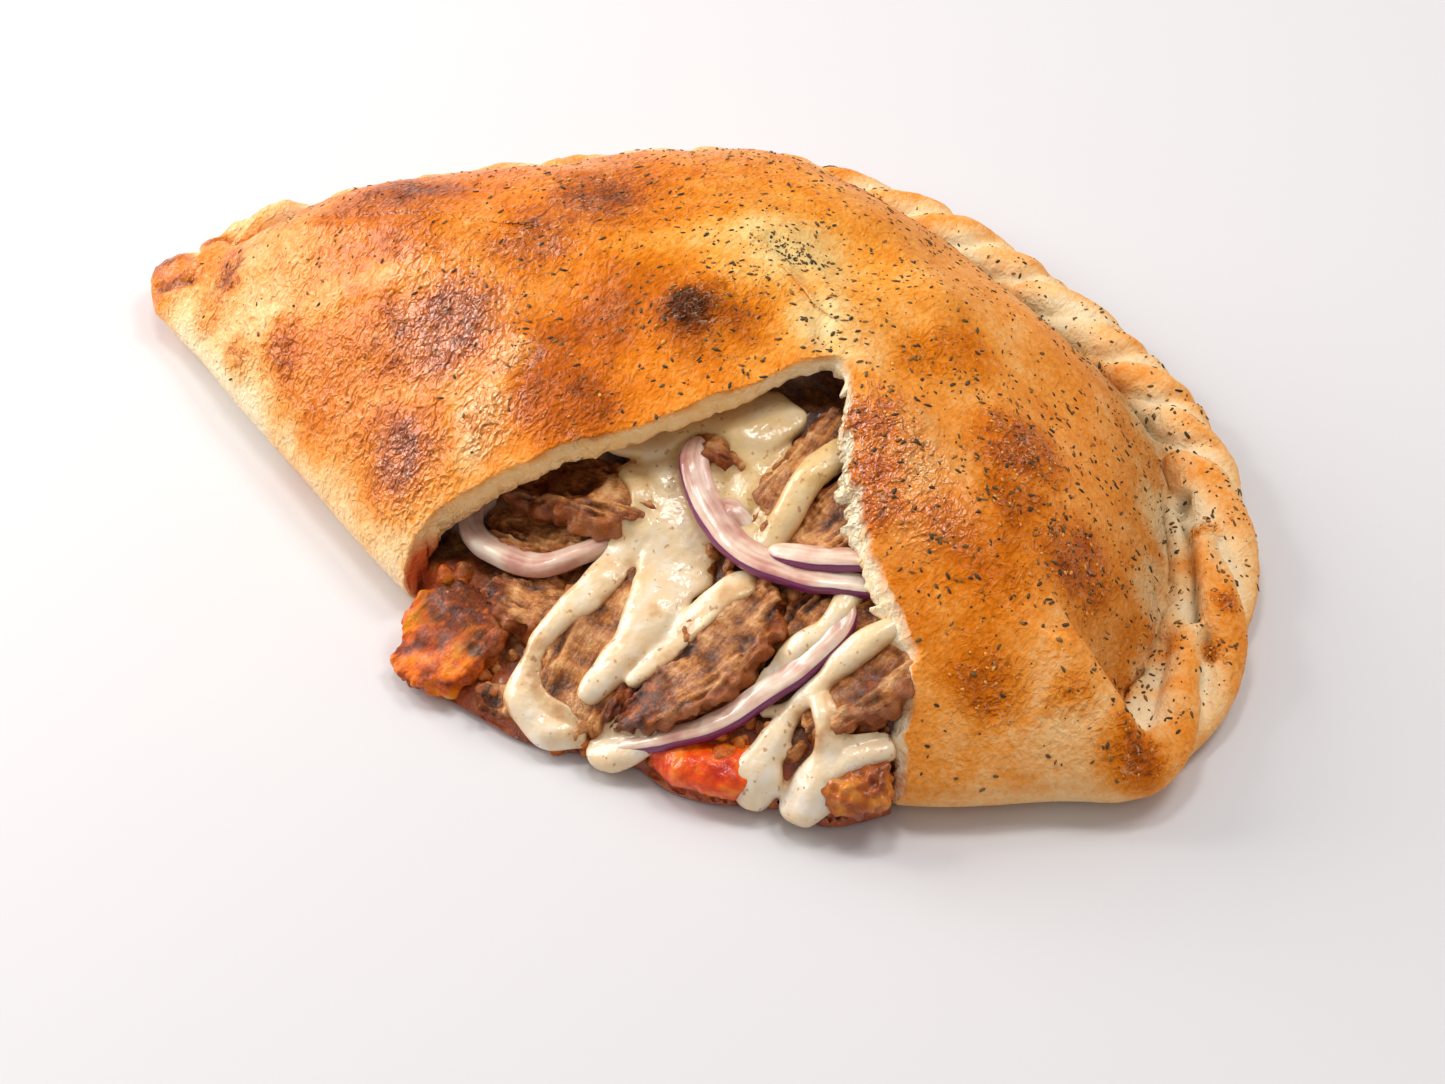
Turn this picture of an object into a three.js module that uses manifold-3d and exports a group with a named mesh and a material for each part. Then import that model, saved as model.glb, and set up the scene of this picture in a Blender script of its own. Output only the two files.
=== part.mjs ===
// Calzone: a round of pizza dough folded over a filling of sliced meat, melted cheese, red onion and
// tomato, crimped along its round side and baked. A wedge of the top has been cut away at the folded
// side, so the filling shows and spills out.
//
// Millimetres, +Z up. +X runs from the pointed tip to the blunt end, -Y is the folded side with the
// opening, +Y is the crimped side. The dough rests on z = 0.
import * as THREE from "three";
import { mergeVertices } from "three/addons/utils/BufferGeometryUtils.js";
import Module from "manifold-3d";

const wasm = await Module();
wasm.setup();

// ---------------------------------------------------------------- driving dimensions
const DOME_TOP = 60; // height of the dough over its middle
const DOME_MIDDLE = [14, 2]; // plan place of the highest point
const WALL = 4; // baked dough, top and base
const GAP = 0.35; // clearance between neighbouring pieces
const FOLD_HEIGHT = 10; // height of the widest line on the folded side
const FOLD_UNDERCUT = 9; // how far the base lies inside that line
const FOLD_FULLNESS = 0.69; // lower is squarer: the folded side stands up steeply
const END_FULLNESS = 0.74; // of the top over the blunt end
const SHOULDER_FULLNESS = 0.92; // between the blunt end and the back
const BACK_FULLNESS = 0.66; // of the top over the back
const TIP_THINNING = 0.6; // the pointed tip is this much thinner than the rest
const TIP_REACH = 50;
const CRIMP_HEIGHT = 13;
const CRIMP_WIDTH = 15; // along the back
const END_WIDTH = 19; // of the long pleats round the blunt end
const TIP_WIDTH = 6;
const VALLEY_HEIGHT = 8; // where the dome meets the crimp
const CRIMP_PITCH = 19; // along the back
const END_PITCH = 36;
const END_STARTS = 335; // length of back crimp before the long pleats
const PLEAT_DEPTH = 3.2;
const END_PLEAT_DEPTH = 5;
const DOME_BLEND = 50; // how far up the dome the folded and crimped sides run into each other
const SLOW_WAVE = 0.9; // unevenness of the top
const QUICK_WAVE = 0.6;
const CUT_SLANT = 3.5; // the cut's right side slopes in by this much through the wall

// The dough's widest line, counter-clockwise from the pointed tip.
const OUTLINE = [
  [-145, -43], // pointed tip
  [-112, -60],
  [-71, -74],
  [-23, -89], // left foot of the opening
  [22, -94],
  [66, -88],
  [102, -72], // right foot of the opening
  [127, -52],
  [139, -43],
  [143, -31], // blunt end
  [138, 4],
  [119, 41],
  [88, 70],
  [39, 88],
  [-10, 94],
  [-55, 82],
  [-96, 46],
  [-130, 0],
];
const RIGHT_FOOT = 6; // places in that list
const BLUNT_END = 9;
const BACK_MIDDLE = 14;

// The edge of the cut on the dough's outer face: up the left lip, round the apex, down the right lip.
const LIP = [
  [-23, -90, 5],
  [-25, -86, 16],
  [-22, -79, 26],
  [-17, -74, 32],
  [-9, -67, 39],
  [6, -54, 47],
  [25, -34, 55],
  [33, -20, 58],
  [40, -13, 58], // apex
  [47, -17, 57],
  [54, -28, 54],
  [62, -36, 51],
  [71, -44, 46],
  [80, -50, 40],
  [89, -54, 35],
  [94, -60, 29],
  [97, -67, 21],
  [101, -72, 12],
  [101, -74, 3],
];
const APEX = 8; // place in that list
const OPENING_MIDDLE = [36, -66];
const OPENING_FRONT = [[112, -92], [60, -118], [-20, -118]]; // closes its plan outside the dough
// Where the base ends under the spilled filling.
const BASE_EDGE = [[-17, -84], [0, -86], [22, -87], [60, -81], [85, -72], [96, -68]];

// Blisters: plan place, radius, height.
const BLISTERS = [
  [-3, -8, 11, 2.6],
  [-68, -42, 15, 1.8],
  [-50, 12, 13, 1.6],
  [-52, -62, 9, 1.4],
  [62, -18, 10, 1.8],
  [84, 0, 15, 2.4],
  [106, -12, 11, 1.6],
  [106, -46, 12, 1.8],
  [46, 22, 9, 1.6],
  [-112, -44, 8, 1.6],
  [-96, -14, 14, 1.4],
  [18, 46, 12, 1.4],
];
// Hollows, where the dough has sunk between blisters.
const HOLLOWS = [
  [22, 18, 14, -4],
  [-22, -30, 12, -1.6],
  [112, 18, 12, -1.5],
];

// The heap of filling in the opening, and the line to which it has spilled.
const HEAP_FRONT = [4, -108]; // height, and the y where it starts
const HEAP_BACK = [44, -8];
const HEAP_DIP = 9; // it sags on the left, under the upper lip
const SPILL_LIFT = 0.3; // lowest point of what has spilled
const SPILL_TOP = 16;
const SPILL_MIDDLE = [36, -78];
const SPILL = [
  [-23, -87],
  [-17, -98],
  [-9, -104],
  [3, -104],
  [20, -104],
  [29, -101],
  [38, -97],
  [46, -95],
  [55, -96],
  [64, -94],
  [73, -89],
  [82, -84],
  [89, -84],
  [94, -79],
  [98, -73],
];

// Pieces of the filling, of each kind from the top of the heap down. Each is laid along a path on
// the heap, and a point of a path is [x, y, height of its middle over the heap, width, thickness].
const SLICES = {
  meat_1: [
    [55, -56, 3, 11, 6],
    [53, -68, 5, 18, 7],
    [51, -78, 5, 17, 7],
    [46, -87, 4, 12, 7],
    [40, -94, 1, 4, 5],
  ],
  meat_2: [[-8, -78, 2, 16, 6], [-7, -89, 3, 26, 7], [-8, -98, 2, 24, 7], [-12, -105, -1, 8, 5]],
  meat_3: [[46, -16, 1, 10, 7], [46, -29, 3, 12, 7], [45, -38, 3, 11, 7], [44, -47, 0, 7, 6]],
  meat_4: [[17, -35, 1, 9, 5], [26, -35, 3, 12, 6], [34, -35, 1, 9, 5]],
  meat_5: [[61, -28, 1, 10, 7], [59, -39, 3, 15, 7], [54, -47, 0, 9, 6]],
  meat_6: [[-17, -58, 4, 12, 7], [-5, -56, 5, 17, 7], [9, -55, 5, 19, 8], [19, -51, 3, 14, 6]],
  meat_7: [[-18, -64, 0, 11, 6], [-5, -64, 1, 18, 6], [9, -61, 0, 13, 5]],
  meat_8: [[27, -64, 2, 19, 5], [26, -80, 3, 26, 6], [27, -92, 2, 24, 6], [28, -100, -1, 14, 6]],
  meat_9: [[86, -52, 0, 12, 6], [84, -64, 2, 17, 7], [77, -75, 0, 12, 6]],
  meat_10: [[-6, -80, 0, 12, 7], [7, -79, 1, 17, 7], [18, -77, 0, 12, 6]],
  meat_11: [[67, -51, 0, 11, 7], [64, -64, 0, 12, 7]],
  meat_12: [[82, -44, -1, 11, 7], [73, -57, 0, 13, 7]],
};
const CHEESE = {
  cheese_left: [
    [
      [-5, -45, 6, 10, 6],
      [7, -40, 5, 15, 6],
      [16, -32, 3, 12, 5],
      [30, -25, 4, 21, 7],
      [37, -17, 4, 15, 7],
      [42, -10, 3, 9, 6],
    ],
    [[33, -26, 3, 17, 6], [36, -37, 2, 14, 6], [33, -44, 2, 11, 5], [25, -44, 2, 9, 5]],
    [
      [10, -40, 4, 12, 5],
      [20, -46, 4.5, 13, 5],
      [27, -53, 5, 18, 5],
      [31, -61, 5, 18, 5],
      [33, -70, 5, 13, 5],
      [33, -80, 5, 9, 5],
      [31, -94, 4, 8, 7],
    ],
    [
      [22, -48, 4, 10, 5],
      [20, -60, 4, 9, 5],
      [18, -74, 5, 8.5, 5],
      [15, -86, 4, 6, 5],
      [15, -91, 3, 5, 5],
      [18, -98, 0, 9, 8],
      [26, -100, -2, 9, 7],
      [35, -98, -2, 5, 6],
    ],
    [
      [34, -57, 5, 9, 5],
      [48, -60, 6, 9, 5],
      [44, -69, 6.5, 8.5, 5],
      [41, -77, 6.5, 8, 5],
      [39, -86, 4, 5, 4],
    ],
    [[52, -23, 4, 7, 5], [49, -34, 6, 7.5, 5], [49, -42, 6, 7, 5], [47, -53, 3, 6, 4]],
  ],
  cheese_right: [
    [[70, -46, 4, 6, 5], [71, -57, 6, 6, 5], [67, -65, 5.5, 6, 5], [64, -76, 3, 5, 4]],
    [
      [85, -49, 4, 6, 5],
      [79, -60, 6, 7, 5],
      [76, -67, 5, 5, 4.5],
      [73, -74, 5, 5, 4],
      [72, -81, 5, 7, 6],
      [72, -86, 2, 10.5, 8],
      [74, -91, -1, 9, 8],
    ],
    [
      [73, -68, 4, 4, 4],
      [81, -74, 4, 5, 4],
      [85, -78, 4, 7, 5],
      [84, -83, 2.5, 13, 9],
      [81, -88, -1, 9, 7],
    ],
    [[95, -68, 2, 5, 5], [91, -74, 4, 6.5, 5], [84, -81, 3, 8, 5]],
  ],
  cheese_front: [[[46, -84, 2, 6, 5], [44, -92, 2.5, 7, 6], [41, -96, 0, 9.5, 7], [38, -99, -2, 7, 6]]],
};
const ONION = {
  onion_1: [
    [-19, -56, 3, 5, 5],
    [-22, -65, 5, 6, 6],
    [-20, -70, 5, 6, 5],
    [-15, -73, 5, 6, 5],
    [-8, -74, 5, 6, 5],
    [2, -73, 5, 6, 4.5],
    [10, -67, 5, 5, 4.5],
    [17, -59, 3, 5, 4],
  ],
  onion_2: [
    [20, -37, 5, 6, 4],
    [24, -44, 6.5, 7, 4],
    [33, -50, 6, 7.5, 4],
    [45, -54, 6, 7.5, 4],
    [60, -53, 6, 6.5, 4],
    [68, -50, 5, 6, 4],
    [79, -45, 2, 5, 4],
  ],
  onion_3: [
    [50, -51, 5, 5, 4],
    [57, -50, 6.5, 6, 4],
    [63, -48, 6.5, 6, 4],
    [69, -45, 6, 6, 4],
    [77, -40, 4, 5, 4],
  ],
  onion_4: [
    [70, -50, 3, 5, 4],
    [73, -58, 5, 6, 4],
    [70, -68, 5, 6, 4],
    [66, -75, 5, 6, 4],
    [60, -84, 4, 6, 4],
    [52, -91, 3, 5, 4],
    [43, -97, 1, 4, 4],
  ],
  onion_5: [[33, -50, 1, 5, 4], [36, -47, 3.5, 7, 5], [42, -47, 1, 5, 4]],
};
const LUMPS = {
  tomato: [[48, -90, -2, 11, 7], [58, -89, -2, 15, 9], [66, -87, -2, 15, 9], [74, -83, -3, 9, 7]],
  sauce: [[84, -79, -3, 10, 7], [91, -78, -3, 14, 9], [98, -74, -3, 10, 8]],
};
const CRUMB = [[10, -97, 0, 7, 6], [13, -103, -1, 7, 6]]; // a scrap of meat

// Flecks of dried herb baked onto the top.
const FLECKS = 26;
const FLECK_SIZE = [1.3, 0.7, 0.6]; // half length, width and height
const FLECK_SPACING = 15;
const FLECK_FIELD = { x: [-105, 125], y: [-60, 70] }; // the part of the plan that has them
const FLECK_LOWEST = 18;
const FLECK_TRIES = 4000;

// ---------------------------------------------------------------- small helpers
const lerp = THREE.MathUtils.lerp;
const smooth = THREE.MathUtils.smoothstep;
const radians = THREE.MathUtils.degToRad;
const UP = new THREE.Vector3(0, 0, 1);

// A repeatable sequence of numbers from 0 to 1.
function seeded(seed) {
  let state = seed * 7919 + 13;
  return () => {
    state = (state * 1103515245 + 12345) % 2147483648;
    return state / 2147483648;
  };
}

// A gentle bump at a plan place, from 1 at its middle to 0.
function bump(x, y, [cx, cy, radius]) {
  return Math.exp((-1.6 * ((x - cx) ** 2 + (y - cy) ** 2)) / radius ** 2);
}

// Closes a stack of rings (each a closed loop, or one point at an end) into a geometry.
function stackRings(rings) {
  const positions = [];
  const index = [];
  const starts = rings.map((ring) => {
    const start = positions.length / 3;
    ring.forEach((p) => positions.push(p.x, p.y, p.z));
    return start;
  });
  for (let k = 0; k + 1 < rings.length; k++) {
    const low = rings[k].length;
    const high = rings[k + 1].length;
    const lowSteps = low === 1 ? 0 : low;
    const highSteps = high === 1 ? 0 : high;
    let i = 0;
    let j = 0;
    while (i < lowSteps || j < highSteps) {
      const a = starts[k] + (i % low);
      const b = starts[k + 1] + (j % high);
      if (j >= highSteps || (i < lowSteps && (i + 1) * high <= (j + 1) * low)) {
        index.push(a, starts[k] + ((i + 1) % low), b);
        i++;
      } else {
        index.push(a, starts[k + 1] + ((j + 1) % high), b);
        j++;
      }
    }
  }
  return new THREE.BufferGeometry()
    .setAttribute("position", new THREE.Float32BufferAttribute(positions, 3))
    .setIndex(index);
}

// A closed three.js geometry as a solid.
function toSolid(geometry) {
  const bare = geometry.clone();
  bare.deleteAttribute("normal");
  bare.deleteAttribute("uv");
  const merged = mergeVertices(bare, 1e-3);
  const index = merged.index.array;
  const kept = [];
  for (let i = 0; i < index.length; i += 3) {
    const [a, b, c] = index.slice(i, i + 3);
    if (a !== b && b !== c && c !== a) kept.push(a, b, c);
  }
  return new wasm.Manifold(
    new wasm.Mesh({
      numProp: 3,
      vertProperties: new Float32Array(merged.attributes.position.array),
      triVerts: new Uint32Array(kept),
    }),
  );
}

function union(solids) {
  return solids.reduce((all, solid) => all.add(solid));
}

// The largest piece of a solid, with any scraps dropped.
function mainPiece(solid) {
  return solid.decompose().reduce((best, piece) => (piece.volume() > best.volume() ? piece : best));
}

function toMesh(name, solid, { color, roughness }) {
  const mesh = solid.getMesh();
  const geometry = new THREE.BufferGeometry()
    .setAttribute("position", new THREE.BufferAttribute(mesh.vertProperties, 3))
    .setIndex(new THREE.BufferAttribute(mesh.triVerts, 1));
  geometry.computeVertexNormals();
  const made = new THREE.Mesh(geometry, new THREE.MeshStandardMaterial({ color, roughness, metalness: 0 }));
  made.name = name;
  return made;
}

// ---------------------------------------------------------------- the dough
const outlineCurve = new THREE.CatmullRomCurve3(
  OUTLINE.map(([x, y]) => new THREE.Vector3(x, y, 0)),
  true,
  "catmullrom",
  0.5,
);
outlineCurve.arcLengthDivisions = OUTLINE.length * 80;
const AROUND = outlineCurve.getLength();

// Length along the outline from the pointed tip to one of its listed points.
function lengthTo(place) {
  return outlineCurve.getLengths()[place * 80];
}
const RIGHT_FOOT_AT = lengthTo(RIGHT_FOOT);
const BLUNT_END_AT = lengthTo(BLUNT_END);
const BACK_MIDDLE_AT = lengthTo(BACK_MIDDLE);

// 0 where the dough is folded, 1 where it is crimped. Up the dome, at t, the change is more gradual.
function crimpShare(s, t) {
  const reach = DOME_BLEND * t;
  const along = s < lengthTo(1) + DOME_BLEND ? s + AROUND : s;
  const begun = smooth(along, BLUNT_END_AT - 14 - reach, BLUNT_END_AT + 8 + reach);
  return begun * (1 - smooth(along, AROUND - 20 - reach, AROUND - 2 + reach));
}

// 1 round the blunt end, 0 along the back.
function endShare(s) {
  return smooth(AROUND - s, END_STARTS - END_PITCH / 2, END_STARTS + END_PITCH / 2);
}

function crimpWidth(s) {
  return lerp(TIP_WIDTH, lerp(CRIMP_WIDTH, END_WIDTH, endShare(s)), smooth(AROUND - s, 0, 110));
}

// Counts pleats from the pointed tip along the back to the blunt end.
function pleatPhase(s) {
  const along = AROUND - s;
  return Math.min(along, END_STARTS) / CRIMP_PITCH + Math.max(0, along - END_STARTS) / END_PITCH;
}

// How thick the dough's edge is: 1, and less at the pointed tip.
function thickness(x, y) {
  const [tipX, tipY] = OUTLINE[0];
  return lerp(TIP_THINNING, 1, smooth(Math.hypot(x - tipX, y - tipY), 0, TIP_REACH));
}

function station(s) {
  const u = (s % AROUND) / AROUND;
  const at = outlineCurve.getPointAt(u);
  const along = outlineCurve.getTangentAt(u);
  return { s, at, inward: new THREE.Vector3(-along.y, along.x, 0).normalize() };
}

// Plan places round the dough: close together along the crimp, further apart on the fold.
function stationsRound(foldStep, crimpStep) {
  const places = [];
  for (let s = 0; s < AROUND - crimpStep / 2; s += s > RIGHT_FOOT_AT + 20 ? crimpStep : foldStep) {
    places.push(station(s));
  }
  return places;
}

function everyOther(ring) {
  return ring.filter((_, i) => i % 2 === 0);
}

// Relief of the top: blisters, hollows and a slow unevenness.
function topRelief(x, y) {
  const spots = [...BLISTERS, ...HOLLOWS].reduce((z, spot) => z + spot[3] * bump(x, y, spot), 0);
  const slow = SLOW_WAVE * Math.sin(x / 17 + 1) * Math.cos(y / 14);
  const quick = QUICK_WAVE * Math.sin((x + 2 * y) / 11);
  return spots + slow + quick;
}

// Height of the top at a share t of the way from the edge to the middle.
function foldHeight(t) {
  return FOLD_HEIGHT + (DOME_TOP - FOLD_HEIGHT) * (1 - (1 - t) ** 2.1) ** FOLD_FULLNESS;
}

// Over the crimped side the top slopes gently at the shoulder and stands up steeply at the back.
function crimpedHeight(t, s) {
  const steep = smooth(s, BACK_MIDDLE_AT - 60, BACK_MIDDLE_AT + 40);
  const shoulder = lerp(END_FULLNESS, SHOULDER_FULLNESS, smooth(s, BLUNT_END_AT, BLUNT_END_AT + 90));
  const fullness = lerp(shoulder, BACK_FULLNESS, steep);
  return VALLEY_HEIGHT + (DOME_TOP - VALLEY_HEIGHT) * (1 - (1 - t) ** 2.2) ** fullness;
}

const FOLD_STEP = 9;
const CRIMP_STEP = 5.6;
const FOLD_RIM = 0.2; // share of the folded side's rise that the rim's rings take

// A point on the rim: angle -90 is underneath, 0 the widest line, 90 on top and 165 in the valley.
function rimPoint({ s, at, inward }, angle, inset) {
  const a = radians(angle);
  const share = crimpShare(s, 0);
  const thin = thickness(at.x, at.y);
  const half = crimpWidth(s) / 2;
  const turn = pleatPhase(s) + angle / 180;
  const across = turn - Math.floor(turn);
  const ridge = 1 - Math.abs(2 * across ** 0.75 - 1) ** 2.2; // each pleat leans to one side
  const exposed = smooth(angle, -60, -10) * (1 - 0.6 * smooth(angle, 130, 165));
  const swell = lerp(PLEAT_DEPTH, END_PLEAT_DEPTH, endShare(s)) * (ridge - 0.6) * exposed;
  const crimp = {
    d: half - (half + swell) * Math.cos(a),
    z: CRIMP_HEIGHT / 2 + (CRIMP_HEIGHT / 2 + swell) * Math.sin(a),
  };
  const fold = { d: FOLD_UNDERCUT * (1 - Math.cos(a)), z: FOLD_HEIGHT * (1 + Math.sin(a)), t: 0 };
  if (angle > 0) {
    fold.t = FOLD_RIM * (angle / 165) ** 1.4;
    fold.d = 0;
    fold.z = foldHeight(fold.t);
  }
  const place = at.clone().addScaledVector(inward, lerp(fold.d, crimp.d, share));
  place.x += (DOME_MIDDLE[0] - at.x) * fold.t * (1 - share);
  place.y += (DOME_MIDDLE[1] - at.y) * fold.t * (1 - share);
  place.z = lerp(fold.z, crimp.z, share) * lerp(thin, thickness(place.x, place.y), smooth(angle, 0, 165));
  place.addScaledVector(inward, inset * Math.cos(a) * (angle < 0 ? 1 : 0.6));
  place.z -= inset * Math.sin(a);
  return place;
}

// A point on the top, at a share t of the way from the rim's last ring to the middle.
function domePoint(place, t, inset) {
  const share = crimpShare(place.s, t);
  const foldT = FOLD_RIM + (1 - FOLD_RIM) * t;
  const valley = place.at.clone().addScaledVector(place.inward, crimpWidth(place.s));
  const x = lerp(lerp(place.at.x, DOME_MIDDLE[0], foldT), lerp(valley.x, DOME_MIDDLE[0], t), share);
  const y = lerp(lerp(place.at.y, DOME_MIDDLE[1], foldT), lerp(valley.y, DOME_MIDDLE[1], t), share);
  const z = lerp(foldHeight(foldT), crimpedHeight(t, place.s), share) * thickness(x, y);
  return new THREE.Vector3(x, y, z + topRelief(x, y) * smooth(t, 0.02, 0.3) - inset);
}

// The outer skin of the dough, or that skin moved in by inset.
function doughSkin(inset) {
  const places = stationsRound(FOLD_STEP, CRIMP_STEP);
  const coarse = everyOther(places);
  const sparse = everyOther(coarse);
  const middle = new THREE.Vector3(...DOME_MIDDLE, inset);
  const foot = places.map((p) => rimPoint(p, -90, 0).setZ(inset));
  const rings = [
    [middle],
    everyOther(everyOther(foot)).map((p) => p.clone().lerp(middle, 0.5)),
    foot,
    ...[-62, -28, 4, 36, 66, 96, 126, 152].map((angle) => places.map((p) => rimPoint(p, angle, inset))),
    ...[0, 0.06].map((t) => places.map((p) => domePoint(p, t, inset))),
    ...[0.14, 0.23, 0.34, 0.46, 0.58, 0.7].map((t) => coarse.map((p) => domePoint(p, t, inset))),
    ...[0.8, 0.9].map((t) => sparse.map((p) => domePoint(p, t, inset))),
    [domePoint(places[0], 1, inset)],
  ];
  return toSolid(stackRings(rings));
}

// The space inside the dough; more inset makes it smaller.
function cavity(inset) {
  const places = everyOther(everyOther(stationsRound(FOLD_STEP, CRIMP_STEP)));
  const edge = (p, extra) => {
    const d = lerp(WALL + inset, crimpWidth(p.s) + 1.5 + inset, crimpShare(p.s, 0)) + extra;
    return p.at.clone().addScaledVector(p.inward, d);
  };
  const floor = WALL + inset;
  const roof = (p, t) => {
    const from = edge(p, 0);
    const x = lerp(from.x, DOME_MIDDLE[0], t);
    const y = lerp(from.y, DOME_MIDDLE[1], t);
    const high = lerp(foldHeight(t), crimpedHeight(t, p.s), crimpShare(p.s, t)) * thickness(x, y);
    const z = high + topRelief(x, y) * smooth(t, 0.02, 0.3) - WALL - inset;
    return new THREE.Vector3(x, y, Math.max(z, WALL + 2 - inset));
  };
  const rings = [
    [new THREE.Vector3(...DOME_MIDDLE, floor)],
    places.map((p) => edge(p, 6).setZ(floor)),
    places.map((p) => edge(p, 0).setZ(WALL + 1)),
    ...[0.06, 0.16, 0.3, 0.48, 0.7].map((t) => places.map((p) => roof(p, t))),
    [roof(places[0], 1)],
  ];
  return toSolid(stackRings(rings));
}

// The wedge cut from the top. Its edge follows the lip, and it slants in through the wall.
function cutWedge(inset) {
  const random = seeded(5);
  const curve = (points) => new THREE.CatmullRomCurve3(points.map((p) => new THREE.Vector3(...p)));
  const left = curve(LIP.slice(0, APEX + 1)).getSpacedPoints(24);
  const right = curve(LIP.slice(APEX)).getSpacedPoints(22).slice(1);
  const lip = [...left, ...right];
  const middle = new THREE.Vector3(...OPENING_MIDDLE, 0);
  const inward = lip.map((p) => middle.clone().sub(p).setZ(0).normalize());
  const torn = lip.map((_, i) => (random() - 0.5) * (i < left.length ? 0.9 : 2.2));
  // A ring of the wedge: the lip moved in and down, closed by a front outside the dough.
  const ring = (moveIn, down, lowest) => {
    const along = lip.map((p, i) => {
      const slant = moveIn * (i < left.length ? 0.3 : 1);
      const moved = p.clone().addScaledVector(inward[i], inset + slant + torn[i]);
      return moved.setZ(Math.max(p.z - down, lowest));
    });
    const front = OPENING_FRONT.map(([x, y]) => new THREE.Vector3(x, y, lowest));
    return [...along, ...front].reverse();
  };
  const floor = WALL + inset;
  const flat = (points, z) => points.map((p) => p.clone().setZ(z));
  const above = DOME_TOP + 20;
  const rings = [
    [middle.clone().setZ(floor)],
    flat(ring(CUT_SLANT, 0, 0), floor),
    ring(CUT_SLANT, WALL, WALL + 0.9),
    ring(0, 0, WALL + 1.5),
    ring(-2 * CUT_SLANT, -10, WALL + 12),
    flat(ring(-2 * CUT_SLANT, 0, 0), above),
    [middle.clone().setZ(above)],
  ];
  const centre = new THREE.Vector3(34, -98, 0);
  const baseTop = WALL + 1 - inset;
  const base = [...BASE_EDGE, ...OPENING_FRONT].map(([x, y]) => {
    const p = new THREE.Vector3(x, y, 0);
    return p.addScaledVector(centre.clone().sub(p).normalize(), 1.5 * inset);
  });
  const baseCut = toSolid(
    stackRings([
      [centre.clone().setZ(-1)],
      flat(base, -1).reverse(),
      flat(base, baseTop).reverse(),
      [centre.clone().setZ(baseTop)],
    ]),
  );
  return toSolid(stackRings(rings)).add(baseCut);
}

function dough(grow) {
  return doughSkin(-grow).subtract(cavity(grow)).subtract(cutWedge(grow));
}

// Herb flecks: flat octahedra half sunk in the top, spread evenly and turned at random.
function herbFlecks(skin) {
  const random = seeded(23);
  const mesh = toMesh("skin", skin, { color: 0xffffff, roughness: 1 });
  const down = new THREE.Vector3(0, 0, -1);
  const laid = [];
  for (let tries = 0; laid.length < FLECKS && tries < FLECK_TRIES; tries++) {
    const x = lerp(...FLECK_FIELD.x, random());
    const y = lerp(...FLECK_FIELD.y, random());
    const turn = random() * Math.PI;
    const near = laid.some(({ point }) => Math.hypot(point.x - x, point.y - y) < FLECK_SPACING);
    if (near || insideOpening(x, y) || distanceTo(LIP, x, y) < FLECK_SPACING / 2) continue;
    const [hit] = new THREE.Raycaster(new THREE.Vector3(x, y, 200), down).intersectObject(mesh);
    if (!hit || hit.point.z < FLECK_LOWEST) continue;
    laid.push({ point: hit.point, normal: hit.face.normal, turn });
  }
  return laid.map(({ point, normal, turn }) => {
    const fleck = new THREE.OctahedronGeometry(1);
    fleck.scale(...FLECK_SIZE);
    fleck.rotateZ(turn);
    fleck.applyQuaternion(new THREE.Quaternion().setFromUnitVectors(UP, normal));
    return toSolid(fleck.translate(point.x, point.y, point.z));
  });
}
const doughCleared = dough(GAP);

// ---------------------------------------------------------------- the heap of filling
function heapHeight(x, y) {
  const back = smooth(y, HEAP_FRONT[1], HEAP_BACK[1]) ** 0.9;
  const dip = (1 - smooth(x, -25, 30)) * smooth(y, -90, -60);
  return lerp(HEAP_FRONT[0], HEAP_BACK[0], back) - HEAP_DIP * dip;
}

// Distance from a plan place to a line of points.
function distanceTo(points, x, y) {
  let least = Infinity;
  for (let i = 0; i + 1 < points.length; i++) {
    const [ax, ay] = points[i];
    const [bx, by] = points[i + 1];
    const length2 = (bx - ax) ** 2 + (by - ay) ** 2;
    const t = THREE.MathUtils.clamp(((x - ax) * (bx - ax) + (y - ay) * (by - ay)) / length2, 0, 1);
    least = Math.min(least, Math.hypot(ax + t * (bx - ax) - x, ay + t * (by - ay) - y));
  }
  return least;
}

function insideOpening(x, y) {
  const loop = [...LIP, ...OPENING_FRONT];
  let inside = false;
  for (let i = 0, j = loop.length - 1; i < loop.length; j = i++) {
    const [ax, ay] = loop[i];
    const [bx, by] = loop[j];
    if (ay > y !== by > y && x < ((bx - ax) * (y - ay)) / (by - ay) + ax) inside = !inside;
  }
  return inside;
}

// Top of the core: the heap in the opening, and up to the roof a little way under the dough.
function coreTop(x, y) {
  const edge = Math.min(1, distanceTo(SPILL, x, y) / 8);
  const lumps = 0.7 * Math.sin(x / 2.7 + Math.cos(y / 4.1)) + 0.7 * Math.cos(y / 3.1 + x / 6.3);
  const open = heapHeight(x, y) * Math.sqrt(1 - (1 - edge) ** 2) + lumps * edge;
  if (insideOpening(x, y)) return Math.max(open, 1);
  return lerp(open, DOME_TOP + 10, smooth(distanceTo(LIP, x, y), 6, 26));
}

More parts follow.
